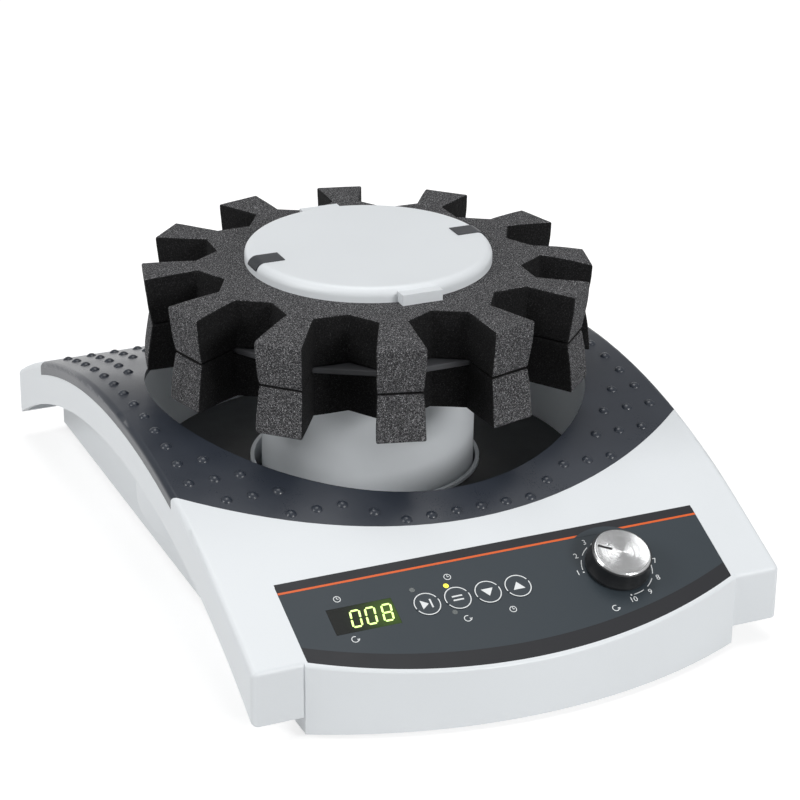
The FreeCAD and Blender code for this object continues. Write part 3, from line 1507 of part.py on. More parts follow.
def make_latches():
    """Two sliding latches in the lid: plate, finger lip that follows the rim and stem through the lid."""
    top = lid_top - size.latch_sink + size.latch_sheet
    bend = size.lid_round + size.latch_sheet - size.latch_sink
    outer = size.latch_outer
    arc_way = (outer - bend + bend * sine(HALF_TURN / 4), top - bend + bend * cosine(HALF_TURN / 4))
    waste = [
        (outer - bend, top),
        (outer, top - bend, bend, arc_way),
        (outer + size.wall, top - bend),
        (outer + size.wall, top + size.wall),
        (outer - bend, top + size.wall),
    ]
    half = size.latch_width / 2
    stem_half = size.latch_stem_width / 2
    for side, name in ((-1, "left"), (1, "right")):
        lip_inner = size.latch_outer - size.latch_lip
        spans = (
            ("plate", size.latch_inner, size.latch_outer, half, lid_top - size.latch_sink),
            ("lip", lip_inner, size.latch_outer, half, lid_top - size.latch_lip_drop),
            ("stem", size.latch_stem_inner, size.latch_stem_outer, stem_half, foam_top - size.lid_spigot),
        )
        blocks = []
        for part, near, far, half_y, low in spans:
            x = (head_x + near, head_x + far) if side > 0 else (head_x - far, head_x - near)
            blocks.append(block(f"latch_{name}_{part}", x, (axis_y - half_y, axis_y + half_y), (low, top)))
        blank = fuse(f"lid_latch_{name}_blank", *blocks)
        rim = place(turned(f"latch_{name}_rim", waste), head_x, axis_y)
        piece(cut(f"lid_latch_{name}", blank, rim))


# Rear

def make_power_inlet():
    """Mains inlet: flanged body with a socket and three contacts."""
    z = housing_base + size.inlet_height
    x = size.inlet_side

    def around(half_x, half_z, y, name):
        return block(name, (x - half_x, x + half_x), y, (z - half_z, z + half_z))

    face = rear_y + size.inlet_flange
    half_x, half_z = size.inlet_width / 2, size.inlet_tall / 2
    body = around(half_x, half_z, (rear_y - size.inlet_depth, face), "power_inlet_body")
    rim = size.inlet_rim
    flange = around(half_x + rim, half_z + rim, (rear_y, face), "power_inlet_flange")
    socket_y = (face - size.socket_depth, face + size.wall)
    socket = around(size.socket_width / 2, size.socket_tall / 2, socket_y, "power_inlet_socket")
    shell = cut("power_inlet_shell", fuse("power_inlet_blank", body, flange), socket)
    contacts = []
    rise = size.contact_tall / 2
    for index, (across, up) in enumerate(((-1, -rise), (0, rise), (1, -rise)), start=1):
        middle = x + across * size.contact_pitch
        contacts.append(
            block(
                f"power_inlet_contact_{index}",
                (middle - size.contact_width / 2, middle + size.contact_width / 2),
                (face - size.socket_depth, face - size.socket_depth + size.contact_length),
                (z + up - size.contact_tall / 2, z + up + size.contact_tall / 2),
            )
        )
    return piece(fuse("power_inlet", shell, *contacts))


def rocker_loop():
    """Section of the rocker about its pivot, seen from above, with its face towards the rear."""
    half = size.rocker_half
    return [
        (-half, 0),
        (0, -size.rocker_root),
        (half, 0),
        (half, size.rocker_edge),
        (0, size.rocker_dip),
        (-half, size.rocker_edge),
    ]


def make_mains_switch():
    """Switch frame in the rear wall and the rocker that tips in it."""
    z = housing_base + size.inlet_height
    x = size.switch_side
    face = rear_y + size.inlet_flange
    pivot_y = rear_y - size.rocker_pivot

    def around(half_x, half_z, y, name):
        return block(name, (x - half_x, x + half_x), y, (z - half_z, z + half_z))

    half_x, half_z = size.switch_half, size.switch_tall / 2
    body = around(half_x, half_z, (rear_y - size.switch_depth, face), "switch_frame_body")
    rim = size.switch_rim
    flange = around(half_x + rim, half_z + rim, (rear_y, face), "switch_frame_flange")
    inside = (rear_y - size.switch_depth + size.switch_wall, face + size.wall)
    hollow = around(half_x - size.switch_wall, half_z - size.switch_wall, inside, "switch_frame_hollow")
    pin_hole = rod(
        "switch_frame_pin_hole", size.rocker_pin + size.turn_gap, z - half_z, z + half_z, x, pivot_y
    )
    piece(cut("switch_frame", fuse("switch_frame_blank", body, flange), hollow, pin_hole))
    key = prism("mains_rocker_key", "XY_Plane", size.rocker_tall, [rocker_loop()])
    place(key, x, pivot_y, z - size.rocker_tall / 2, turn=size.rocker_tilt)
    reach = half_z - size.turn_gap
    pin = rod("mains_rocker_pin", size.rocker_pin, z - reach, z + reach, x, pivot_y)
    return piece(fuse("mains_rocker", key, pin))


def make_power_supply():
    """Power supply board with its transformer, on posts on the base plate."""
    low = plate_top + size.supply_lift
    top = low + size.board_sheet
    inset = size.choke_inset
    right = -size.bridge_half_width - size.supply_clear
    back = rear_y - size.supply_back
    x = (right - size.supply_width, right)
    y = (back - size.supply_depth, back)
    board = block("power_supply_board", x, y, (low, top))
    choke = block(
        "power_supply_transformer",
        (x[0] + inset, x[1] - inset),
        (y[0] + inset, y[1] - inset),
        (top, top + size.choke_height),
    )
    piece(fuse("power_supply", board, choke))
    inset = size.supply_inset
    posts = [
        rod(f"supply_post_{column + 1}{row + 1}", size.supply_post, plate_top, low, post_x, post_y)
        for column, post_x in enumerate((x[0] + inset, x[1] - inset))
        for row, post_y in enumerate((y[0] + inset, y[1] - inset))
    ]
    piece(group("power_supply_posts", *posts))


def check_document():
    """Stop if any object failed or any piece has a bad shape."""
    for item in doc.Objects:
        if "Invalid" in item.State or "Error" in item.State:
            raise RuntimeError(f"{item.Name} failed: {item.State}")
    for item in pieces:
        shape = item.Shape
        if shape.isNull() or not shape.isValid() or not shape.Solids:
            raise RuntimeError(f"{item.Label} has no valid solid")


def main():
    """Build every piece, check the document and write the STEP files."""
    canopy_block = wing_block("canopy_block")
    make_upper_housing(canopy_block)
    make_top_mat(canopy_block)
    make_bowl_liner()
    make_bowl_floor()
    make_column_collar()
    make_bowl_posts()
    make_base_plate()
    make_feet()
    make_base_screws()
    make_panel_foil()
    make_display()
    make_keys()
    make_key_switches()
    make_status_lights()
    make_control_board()
    make_speed_knob()
    make_drive_bridge()
    make_bearing_tower()
    make_main_bearings()
    make_eccentric()
    make_motor()
    make_guide_cranks()
    make_head_column()
    make_head_hub()
    make_foam_core()
    make_foam()
    make_lid()
    make_latches()
    make_power_inlet()
    make_mains_switch()
    make_power_supply()
    doc.recompute()
    check_document()
    os.makedirs("parts", exist_ok=True)
    for item in pieces:
        item.Shape.exportStep(f"parts/{item.Label}.step")
        print(f"{item.Label}: {len(item.Shape.Solids)} solids, {item.Shape.Volume / 1000:.2f} cm3")
    print(f"{len(pieces)} pieces")


main()
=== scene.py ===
"""Looks of a multi-tube vortex mixer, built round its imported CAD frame."""

import json
import logging
import math
from dataclasses import dataclass
from enum import Enum

import bmesh
import bpy
import numpy as np
from mathutils import Matrix, Vector

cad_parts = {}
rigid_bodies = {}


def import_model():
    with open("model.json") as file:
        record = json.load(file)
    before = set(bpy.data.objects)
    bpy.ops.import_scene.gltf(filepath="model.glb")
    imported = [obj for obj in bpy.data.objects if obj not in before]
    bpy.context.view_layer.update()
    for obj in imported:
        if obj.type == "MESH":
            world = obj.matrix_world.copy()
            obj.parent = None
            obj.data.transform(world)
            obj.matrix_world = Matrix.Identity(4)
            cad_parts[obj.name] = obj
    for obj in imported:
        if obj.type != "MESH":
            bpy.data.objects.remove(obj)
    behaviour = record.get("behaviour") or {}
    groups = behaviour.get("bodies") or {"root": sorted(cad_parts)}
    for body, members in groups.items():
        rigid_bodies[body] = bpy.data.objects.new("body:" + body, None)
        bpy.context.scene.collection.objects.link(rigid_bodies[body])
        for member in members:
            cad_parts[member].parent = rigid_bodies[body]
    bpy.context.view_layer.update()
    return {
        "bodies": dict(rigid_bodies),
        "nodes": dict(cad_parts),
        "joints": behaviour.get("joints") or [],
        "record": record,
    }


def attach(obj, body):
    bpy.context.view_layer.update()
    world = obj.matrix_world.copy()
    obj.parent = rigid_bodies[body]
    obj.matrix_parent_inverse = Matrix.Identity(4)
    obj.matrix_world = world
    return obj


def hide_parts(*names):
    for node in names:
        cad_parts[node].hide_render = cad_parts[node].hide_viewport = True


LOG = logging.getLogger("mixer")
MM = 0.001
FULL_TURN = 2 * math.pi
Colour = tuple[float, float, float, float]


def tone(red: float, green: float, blue: float) -> Colour:
    """Turns a screen colour of 0 to 255 into the linear colour that a shader takes.

    Args:
        red: screen red.
        green: screen green.
        blue: screen blue.
    Returns:
        The linear colour with full alpha.
    """
    screen = np.array((red, green, blue)) / 255
    low = screen / 12.92
    high = ((screen + 0.055) / 1.055) ** 2.4
    linear = np.where(screen <= 0.04045, low, high)
    return (float(linear[0]), float(linear[1]), float(linear[2]), 1.0)


def shaded(colour: Colour, factor: float) -> Colour:
    """A colour times a factor, held at one, with full alpha."""
    return tuple(min(1.0, part * factor) for part in colour[:3]) + (1.0,)


BLACK = (0.0, 0.0, 0.0, 1.0)
ORIGIN = (0.0, 0.0, 0.0)


class Value:
    """A number socket of a shader, whose arithmetic adds Math nodes."""

    def __init__(self, board: "Board", socket: bpy.types.NodeSocket) -> None:
        """Keeps the socket and the board that it is on."""
        self.board = board
        self.socket = socket

    def __add__(self, other: "Value | float") -> "Value":
        """Sum."""
        return self.board.math("ADD", self, other)

    def __mul__(self, other: "Value | float") -> "Value":
        """Product."""
        return self.board.math("MULTIPLY", self, other)

    def __sub__(self, other: "Value | float") -> "Value":
        """Difference."""
        return self.board.math("SUBTRACT", self, other)

    def __rsub__(self, other: float) -> "Value":
        """Difference from a number."""
        return self.board.math("SUBTRACT", other, self)

    def __pow__(self, other: float) -> "Value":
        """Power."""
        return self.board.math("POWER", self, other)

    __radd__ = __add__
    __rmul__ = __mul__


class Board:
    """The node tree of one material or world, with short ways to add nodes."""

    def __init__(self, tree: bpy.types.NodeTree) -> None:
        """Starts from an empty tree."""
        self.tree = tree
        tree.nodes.clear()

    def node(self, kind: str, settings: dict | None = None, inputs: dict | None = None) -> bpy.types.Node:
        """Adds one node.

        Args:
            kind: the node's type.
            settings: the node's own options, set first.
            inputs: values, sockets or Values by the identifier of the node's input.
        Returns:
            The new node.
        """
        made = self.tree.nodes.new(kind)
        for option, choice in (settings or {}).items():
            setattr(made, option, choice)
        sockets = {socket.identifier: socket for socket in made.inputs}
        for key, given in (inputs or {}).items():
            source = given.socket if isinstance(given, Value) else given
            if isinstance(source, bpy.types.NodeSocket):
                self.tree.links.new(source, sockets[key])
            else:
                sockets[key].default_value = source
        return made

    def math(self, operation: str, first: Value | float, second: Value | float) -> Value:
        """Adds a Math node and returns its result."""
        made = self.node("ShaderNodeMath", {"operation": operation}, {"Value": first, "Value_001": second})
        return Value(self, made.outputs[0])

    def coords(self) -> bpy.types.NodeSocket:
        """The piece's own coordinates, in metres."""
        return self.node("ShaderNodeTexCoord").outputs["Object"]

    def vector(self, operation: str, first: object, second: object) -> bpy.types.Node:
        """Adds a Vector Math node."""
        settings = {"operation": operation}
        return self.node("ShaderNodeVectorMath", settings, {"Vector": first, "Vector_001": second})

    def unit(self, way: bpy.types.NodeSocket) -> bpy.types.NodeSocket:
        """A direction at length one."""
        return self.vector("NORMALIZE", way, ORIGIN).outputs[0]

    def noise(self, grain: float, detail: float = 2.0, stretch: tuple = (1, 1, 1)) -> Value:
        """Noise from 0 to 1.

        Args:
            grain: size of the noise's grains, in millimetres.
            detail: layers of finer noise.
            stretch: how much finer the noise is along each axis.
        Returns:
            The noise at each point of the piece.
        """
        where = self.vector("MULTIPLY", self.coords(), stretch).outputs[0]
        inputs = {"Vector": where, "Scale": 1 / (grain * MM), "Detail": detail}
        return Value(self, self.node("ShaderNodeTexNoise", None, inputs).outputs[0])

    def spread(self, value: Value, low: float, high: float, first: float, last: float) -> Value:
        """Maps a value from low..high to first..last and holds it there beyond the ends."""
        inputs = {"Value": value, "From Min": low, "From Max": high, "To Min": first, "To Max": last}
        return Value(self, self.node("ShaderNodeMapRange", {"clamp": True}, inputs).outputs[0])

    def swing(self, noise: Value, first: float, last: float) -> Value:
        """Maps the middle of a noise, where most of it lies, to first..last."""
        return self.spread(noise, 0.3, 0.7, first, last)

    def mix(self, share: Value, first: object, second: object) -> bpy.types.NodeSocket:
        """Mixes two colours by a share from 0 to 1."""
        inputs = {"Factor_Float": share, "A_Color": first, "B_Color": second}
        made = self.node("ShaderNodeMix", {"data_type": "RGBA"}, inputs)
        return next(socket for socket in made.outputs if socket.identifier == "Result_Color")

    def distance(self, place: tuple) -> Value:
        """Distance of each point from a place in the part's frame, in metres."""
        return Value(self, self.vector("DISTANCE", self.coords(), place).outputs["Value"])

    def bump(self, height: Value, depth: float, strength: float = 1.0) -> bpy.types.NodeSocket:
        """Turns a height from 0 to 1 into a tilted normal, with its depth in millimetres."""
        inputs = {"Height": height, "Distance": depth * MM, "Strength": strength}
        return self.node("ShaderNodeBump", None, inputs).outputs[0]

    def surface(self, inputs: dict) -> None:
        """Ends the tree in a Principled shader with these inputs."""
        shader = self.node("ShaderNodeBsdfPrincipled", None, inputs)
        self.node("ShaderNodeOutputMaterial", None, {"Surface": shader.outputs[0]})


@dataclass(frozen=True)
class Finish:
    """A named surface finish."""

    name: str

    def shade(self, board: Board) -> None:
        """Builds the finish's nodes."""
        raise NotImplementedError

    def material(self) -> bpy.types.Material:
        """The finish as a material, made once."""
        title = f"finish_{self.name}"
        made = bpy.data.materials.get(title)
        if made is None:
            made = bpy.data.materials.new(title)
            made.use_nodes = True
            self.shade(Board(made.node_tree))
        return made


@dataclass(frozen=True)
class Moulded(Finish):
    """Plastic, rubber or print: a colour with slow mottling, uneven gloss and a fine grain."""

    colour: Colour
    roughness: float = 0.45
    gloss_spread: float = 0.08
    mottle: float = 0.05
    mottle_size: float = 40.0
    grain: float = 0.9
    grain_depth: float = 0.02
    specular: float = 0.5

    def shade(self, board: Board) -> None:
        """Colour times one plus or minus the mottle; gloss and bump from two finer noises."""
        cloud = board.noise(self.mottle_size, 4)
        speck = board.noise(self.grain, 3)
        dark = shaded(self.colour, 1 - self.mottle)
        light = shaded(self.colour, 1 + self.mottle)
        share = board.swing(cloud * 0.7 + speck * 0.3, 0, 1)
        low = self.roughness - self.gloss_spread
        high = self.roughness + self.gloss_spread
        inputs = {
            "Base Color": board.mix(share, dark, light),
            "Roughness": board.swing(cloud * 0.5 + speck * 0.5, low, high),
            "Normal": board.bump(speck, self.grain_depth),
            "Specular IOR Level": self.specular,
        }
        board.surface(inputs)


@dataclass(frozen=True)
class CutFoam(Finish):
    """Cut open-cell foam: dark cells, grey cell edges and a few bright specks."""

    cell: float = 0.8
    pore: Colour = tone(28, 28, 30)
    body: Colour = tone(64, 64, 66)
    speck: Colour = tone(206, 206, 208)
    fineness: float = 2.6
    cell_share: float = 0.55
    pore_range: tuple = (0.36, 0.54)
    speck_range: tuple = (0.55, 0.68)
    depth: float = 0.5

    def shade(self, board: Board) -> None:
        """Two noises, one a third of the other's size, darken the cells and pick out the specks."""
        cells = board.noise(self.cell, 3)
        fine = board.noise(self.cell / self.fineness, 2)
        height = cells * self.cell_share + fine * (1 - self.cell_share)
        base = board.mix(board.spread(height, *self.pore_range, 0, 1), self.pore, self.body)
        bright = board.spread(fine * 0.7 + cells * 0.3, *self.speck_range, 0, 1)
        inputs = {
            "Base Color": board.mix(bright, base, self.speck),
            "Roughness": board.swing(height, 0.95, 0.8),
            "Normal": board.bump(height, self.depth, 0.8),
            "Specular IOR Level": 0.2,
        }
        board.surface(inputs)


@dataclass(frozen=True)
class Metal(Finish):
    """Bare metal with fine drawn lines along one axis."""

    colour: Colour
    roughness: float = 0.35
    stretch: tuple = (1, 1, 12)
    dulling: float = 0.8

    def shade(self, board: Board) -> None:
        """Lines from stretched noise change gloss and height; slow noise dulls the colour."""
        lines = board.noise(3.0, 3, self.stretch)
        cloud = board.noise(25.0, 3)
        dull = shaded(self.colour, self.dulling)
        inputs = {
            "Base Color": board.mix(board.spread(cloud, 0.35, 0.65, 0, 1), dull, self.colour),
            "Metallic": 1.0,
            "Roughness": board.swing(lines, self.roughness - 0.1, self.roughness + 0.12),
            "Normal": board.bump(lines, 0.03),
        }
        board.surface(inputs)


@dataclass(frozen=True)
class SpunMetal(Finish):
    """Metal turned on a lathe: fine rings about an axis."""

    centre: tuple
    axis: tuple
    colour: Colour = tone(226, 227, 228)
    ring: float = 0.1
    tilt: float = 0.42
    dulling: float = 0.8

    def shade(self, board: Board) -> None:
        """Grooves lean the normal in and out by noise of the distance from the axis, so lights draw fans."""
        offset = board.vector("SUBTRACT", board.coords(), self.centre).outputs[0]
        across = board.vector("CROSS_PRODUCT", offset, self.axis).outputs[0]
        radius = board.vector("LENGTH", across, ORIGIN).outputs["Value"]
        inputs = {"W": radius, "Scale": 1 / (self.ring * MM), "Detail": 3.0}
        noise = board.node("ShaderNodeTexNoise", {"noise_dimensions": "1D"}, inputs)
        rings = Value(board, noise.outputs[0])
        outwards = board.unit(board.vector("CROSS_PRODUCT", self.axis, across).outputs[0])
        settings = {"vector_type": "NORMAL", "convert_from": "OBJECT", "convert_to": "WORLD"}
        radial = board.node("ShaderNodeVectorTransform", settings, {"Vector": outwards}).outputs[0]
        lean = board.spread(rings, 0.25, 0.75, -self.tilt, self.tilt)
        inputs = {"Vector": radial, "Scale": lean}
        leaning = board.node("ShaderNodeVectorMath", {"operation": "SCALE"}, inputs).outputs[0]
        upright = board.node("ShaderNodeNewGeometry").outputs["Normal"]
        dull = shaded(self.colour, self.dulling)
        inputs = {
            "Base Color": board.mix(board.spread(rings, 0.35, 0.65, 0, 1), dull, self.colour),
            "Metallic": 1.0,
            "Roughness": board.swing(rings, 0.16, 0.26),
            "Normal": board.unit(board.vector("ADD", upright, leaning).outputs[0]),
        }
        board.surface(inputs)


@dataclass(frozen=True)
class DarkWindow(Finish):
    """Tinted window with the glow of the digits behind it."""

    glow_place: tuple
    glow: Colour = tone(72, 104, 24)
    tint: Colour = tone(14, 17, 15)
    tint_speck: Colour = tone(18, 21, 18)
    reach: float = 24.0

    def shade(self, board: Board) -> None:
        """The glow falls with the square of one minus distance over its reach."""
        away = board.spread(board.distance(self.glow_place), 0, self.reach * MM, 0, 1)
        speck = board.noise(0.8, 2)
        inputs = {
            "Base Color": board.mix(speck, self.tint, self.tint_speck),
            "Roughness": board.swing(speck, 0.3, 0.4),
            "Specular IOR Level": 0.15,
            "Emission Color": board.mix((1 - away) ** 2, BLACK, self.glow),
            "Emission Strength": 1.0,
        }
        board.surface(inputs)


@dataclass(frozen=True)
class Lit(Finish):
    """A lit mark: its own light, slightly uneven, over a plastic face."""

    colour: Colour
    dim: Colour
    strength: float = 1.0

    def shade(self, board: Board) -> None:
        """The light runs between two colours with a fine noise."""
        speck = board.noise(1.2, 2)
        inputs = {
            "Base Color": board.mix(speck, self.dim, self.colour),
            "Roughness": board.swing(speck, 0.3, 0.45),
            "Emission Color": board.mix(board.swing(speck, 0, 1), self.dim, self.colour),
            "Emission Strength": self.strength,
        }
        board.surface(inputs)


@dataclass(frozen=True)
class LightPipes(Finish):
    """Clear lenses of the status lights, of which one is lit."""

    lit_place: tuple
    off: Colour = tone(74, 80, 80)
    off_speck: Colour = tone(92, 98, 98)
    lit: Colour = tone(236, 226, 60)
    reach: tuple = (3.5 * MM, 4 * MM)

    def shade(self, board: Board) -> None:
        """A lens within reach of the lit place shows the lit colour."""
        share = board.spread(board.distance(self.lit_place), *self.reach, 1, 0)
        speck = board.noise(0.7, 2)
        lens = board.mix(speck, self.off, self.off_speck)
        inputs = {
            "Base Color": board.mix(share, lens, self.lit),
            "Roughness": board.swing(speck, 0.18, 0.3),
            "Emission Color": board.mix(share, BLACK, self.lit),
            "Emission Strength": 0.9,
        }
        board.surface(inputs)


class Ink(Enum):
    """Inks printed on the panel."""

    WHITE = Moulded("ink_white", tone(226, 229, 230), 0.5, 0.06, 0.04, 8.0, 0.4, 0.004)
    ORANGE = Moulded("ink_orange", tone(218, 92, 24), 0.48, 0.06, 0.06, 10.0, 0.4, 0.004)
    DARK = Moulded("ink_dark", tone(33, 34, 38), 0.5, 0.07, 0.06, 20.0, 0.5, 0.006, 0.35)


PANEL = Moulded("foil_print", tone(50, 58, 64), 0.5, 0.07, 0.05, 30.0, 0.5, 0.008, 0.35)
FOAM = CutFoam("foam_cut")
# a much darker copy of the foam: painted shade on the slot walls, the sides of the teeth and the joint faces
FOAM_SLOT_SHADE = CutFoam("foam_slot_painted_shade", 0.8, tone(7, 7, 8), tone(17, 17, 18), tone(60, 60, 61))
KNOB_BLACK = Moulded("knob_black", tone(26, 27, 29), 0.36, 0.08, 0.12, 12.0, 0.5, 0.012)
LATCH_DARK = Moulded("latch_dark", tone(44, 47, 52), 0.42, 0.08, 0.08, 8.0, 0.5, 0.015)
PLATE_DARK = Moulded("plate_dark", tone(72, 73, 76), 0.55, 0.08, 0.1, 15.0, 0.7, 0.02, 0.3)
MAT_RUBBER = Moulded("mat_rubber", tone(45, 50, 59), 0.32, 0.07, 0.07, 25.0, 0.6, 0.02, 0.5)


@dataclass(frozen=True)
class Slope:
    """The sloping control panel, as a plane in the part's frame, in millimetres."""

    bend_y: float = -132.448
    bend_z: float = 56.72
    angle: float = math.radians(23.9)

    def points(self, x: np.ndarray, along: np.ndarray, height: np.ndarray) -> np.ndarray:
        """Places on the panel: start of the slope, down along it, then out along its normal.

        Args:
            x: sideways places.
            along: places down the slope.
            height: heights over the slope.
        Returns:
            Points in metres, with the last axis x, y, z.
        """
        y = self.bend_y - along * math.cos(self.angle) - height * math.sin(self.angle)
        z = self.bend_z - along * math.sin(self.angle) + height * math.cos(self.angle)
        return np.stack(np.broadcast_arrays(x, y, z), axis=-1) * MM

    def place(self, x: float, along: float, height: float = 0.0) -> tuple:
        """One point of the panel as a tuple, in metres."""
        return tuple(float(part) for part in self.points(np.array(x), np.array(along), np.array(height)))

    def normal(self) -> tuple:
        """The panel's outward direction."""
        return (0.0, -math.sin(self.angle), math.cos(self.angle))


SLOPE = Slope()


class Surface:
    """Gathers patches of faces and makes them one mesh with merged seams."""

    def __init__(self) -> None:
        """Starts with no points and no faces."""
        self.points: list[np.ndarray] = []
        self.faces: list[list] = []
        self.finishes: list[int] = []
        self.finish_next = 0
        self.count = 0

    def add(self, points: np.ndarray, faces: np.ndarray) -> None:
        """Adds points of shape (n, 3) and faces that count from this patch's first point."""
        self.points.append(points.reshape(-1, 3))
        self.faces.extend((faces + self.count).tolist())
        self.finishes.extend([self.finish_next] * len(faces))
        self.count += len(self.points[-1])

    def grid(self, points: np.ndarray, around: bool = False) -> None:
        """Adds a grid of quads.

        Args:
            points: an array of shape (rows, columns, 3).
            around: whether the last column joins the first.
        """
        rows, columns = points.shape[:2]
        index = np.arange(rows * columns).reshape(rows, columns)
        if around:
            index = np.concatenate((index, index[:, :1]), axis=1)
        corners = (index[:-1, :-1], index[1:, :-1], index[1:, 1:], index[:-1, 1:])
        self.add(points, np.stack(corners, axis=-1).reshape(-1, 4))

    def tube(self, sections: np.ndarray) -> None:
        """Adds a closed section of four points carried along a path, with both ends capped.

        Args:
            sections: an array of shape (stations, 4, 3).
        """
        self.grid(sections, around=True)
        for end in (sections[0], sections[-1]):
            self.add(end, np.array([[0, 1, 2, 3]]))

    def band(self, first: np.ndarray, last: np.ndarray, low: float, high: float) -> None:
        """Adds a thin plate on the panel between two edges.

        Args:
            first: one edge, as (x, along) rows.
            last: the other edge, with as many rows.
            low: height of the underside over the slope.
            high: height of the face over the slope.
        """
        rows = [
            SLOPE.points(edge[:, 0], edge[:, 1], np.full(len(edge), height))
            for edge, height in ((first, low), (last, low), (last, high), (first, high))
        ]
        self.tube(np.stack(rows, axis=1))

    def stroke(self, path: np.ndarray, width: float, low: float, high: float) -> None:
        """Adds a printed line between the two edges of a path of this width."""
        self.band(*edges(path, width), low, high)

    def lathe(self, profile: np.ndarray, count: int, closed: bool) -> None:
        """Adds a turned shape about the local z axis, in metres: each profile point goes round a circle.

        Args:
            profile: rows of radius and height in millimetres.
            count: points round the circle.
            closed: whether the profile's last point joins its first.
        """
        self.grid(turned(profile, np.linspace(0, FULL_TURN, count, endpoint=False), closed), around=True)

    def repeat(self, matrices: np.ndarray) -> None:
        """Replaces what is gathered by one turned copy for each 3 by 3 matrix."""
        points = np.concatenate(self.points)
        faces = list(self.faces)
        copies = np.einsum("kij,pj->kpi", matrices, points)
        steps = range(0, len(matrices) * len(points), len(points))
        self.points = [copies.reshape(-1, 3)]
        self.faces = [[corner + step for corner in face] for step in steps for face in faces]
        self.finishes = self.finishes * len(matrices)
        self.count = len(self.points[0])

    def object(
        self, name: str, *finishes: Finish, crease: float = 35.0, merge: float = 0.004
    ) -> bpy.types.Object:
        """Makes the gathered patches an object at the origin.

        Args:
            name: the piece's name.
            finishes: the piece's finishes, in the order in which its faces count them.
            crease: faces that meet at more than this angle, in degrees, keep a sharp edge.
            merge: points closer than this are one, in millimetres.
        Returns:
            The new object, with its place in its mesh.
        """
        mesh = bpy.data.meshes.new(name)
        mesh.from_pydata(np.concatenate(self.points).tolist(), [], self.faces)
        for finish in finishes:
            mesh.materials.append(finish.material())
        mesh.polygons.foreach_set("material_index", self.finishes)
        work = bmesh.new()
        work.from_mesh(mesh)
        bmesh.ops.remove_doubles(work, verts=work.verts, dist=merge * MM)
        bmesh.ops.dissolve_degenerate(work, edges=work.edges, dist=merge * MM)
        bmesh.ops.recalc_face_normals(work, faces=work.faces)
        work.to_mesh(mesh)
        work.free()
        mesh.shade_smooth()
        mesh.set_sharp_from_angle(angle=math.radians(crease))
        made = bpy.data.objects.new(name, mesh)
        bpy.context.scene.collection.objects.link(made)
        return made


def turned(profile: np.ndarray, angles: np.ndarray, closed: bool = False) -> np.ndarray:
    """Grid of a turned shape: radius times cosine and sine of the angle, with the profile's height.

    Args:
        profile: rows of radius and height in millimetres.
        angles: angles round the axis, in radians.
        closed: whether the profile's first point is added after its last.
    Returns:
        Points of shape (profile, angles, 3), in metres.
    """
    rows = np.concatenate((profile, profile[:1])) if closed else profile
    radius = rows[:, :1]
    height = np.broadcast_to(rows[:, 1:2], (len(rows), len(angles)))
    return np.stack((radius * np.cos(angles), radius * np.sin(angles), height), axis=-1) * MM


def arc(centre: tuple, radius: float, first: float, last: float, count: int = 24) -> np.ndarray:
    """Arc on the panel from one angle to another, in degrees, with 90 pointing up the slope.

    Returns:
        Rows of (x, along).
    """
    angles = np.radians(np.linspace(first, last, count))
    return np.stack((centre[0] + radius * np.cos(angles), centre[1] - radius * np.sin(angles)), axis=1)


def line(start: tuple, end: tuple, count: int = 2) -> np.ndarray:
    """Straight row of points from start to end."""
    return np.linspace(np.array(start, float), np.array(end, float), count)


def edges(path: np.ndarray, width: float) -> tuple[np.ndarray, np.ndarray]:
    """The path less and plus half the width along its normal."""
    way = np.gradient(path, axis=0)
    way = way / np.linalg.norm(way, axis=1, keepdims=True)
    side = np.stack((-way[:, 1], way[:, 0]), axis=1) * width / 2
    return path - side, path + side


def raised(flat: np.ndarray, height: float) -> np.ndarray:
    """Flat points of shape (..., 2) set at one height."""
    return np.concatenate((flat, np.full(flat.shape[:-1] + (1,), height)), axis=-1)


def fence(path: np.ndarray, heights: np.ndarray) -> np.ndarray:
    """Upright wall along a flat path, with one row of points at each height."""
    return np.stack([raised(path, height) for height in heights])


def ease(obj: bpy.types.Object, width: float, segments: int = 2, angle: float = 40.0) -> None:
    """Rounds the piece's sharp edges with a Bevel modifier of this width, in millimetres."""
    bevel = obj.modifiers.new("eased_edges", "BEVEL")
    bevel.width = width * MM
    bevel.segments = segments
    bevel.limit_method = "ANGLE"
    bevel.angle_limit = math.radians(angle)
    bevel.harden_normals = False


def lettering(text: str, size: float, x: float, along: float) -> tuple[np.ndarray, np.ndarray]:
    """Number on the panel, centred on a place, as thin plates.

    Args:
        text: the number.
        size: height of a line of text, in millimetres.
        x: sideways place.
        along: place down the slope.
    Returns:
        Points in metres and triangles.
    """
    curve = bpy.data.curves.new("number", "FONT")
    curve.body = text
    curve.size = size
    curve.align_x = "CENTER"
    curve.align_y = "CENTER"
    curve.extrude = Print.PROUD / 2
    curve.resolution_u = 3
    holder = bpy.data.objects.new("number", curve)
    bpy.context.scene.collection.objects.link(holder)
    mesh = bpy.data.meshes.new_from_object(holder.evaluated_get(bpy.context.evaluated_depsgraph_get()))
    mesh.calc_loop_triangles()
    flat = np.zeros(len(mesh.vertices) * 3)
    mesh.vertices.foreach_get("co", flat)
    flat = flat.reshape(-1, 3)
    corners = np.zeros(len(mesh.loop_triangles) * 3, np.int32)
    mesh.loop_triangles.foreach_get("vertices", corners)
    bpy.data.objects.remove(holder)
    bpy.data.curves.remove(curve)
    bpy.data.meshes.remove(mesh)
    points = SLOPE.points(x + flat[:, 0], along - flat[:, 1], flat[:, 2] + Print.PROUD / 2)
    return points, corners.reshape(-1, 3)


class Print:
    """Heights of the printed layers over the slope, in millimetres."""

    UNDER = -0.02
    FIRST = 0.03
    PROUD = 0.06
    OVER = 0.09


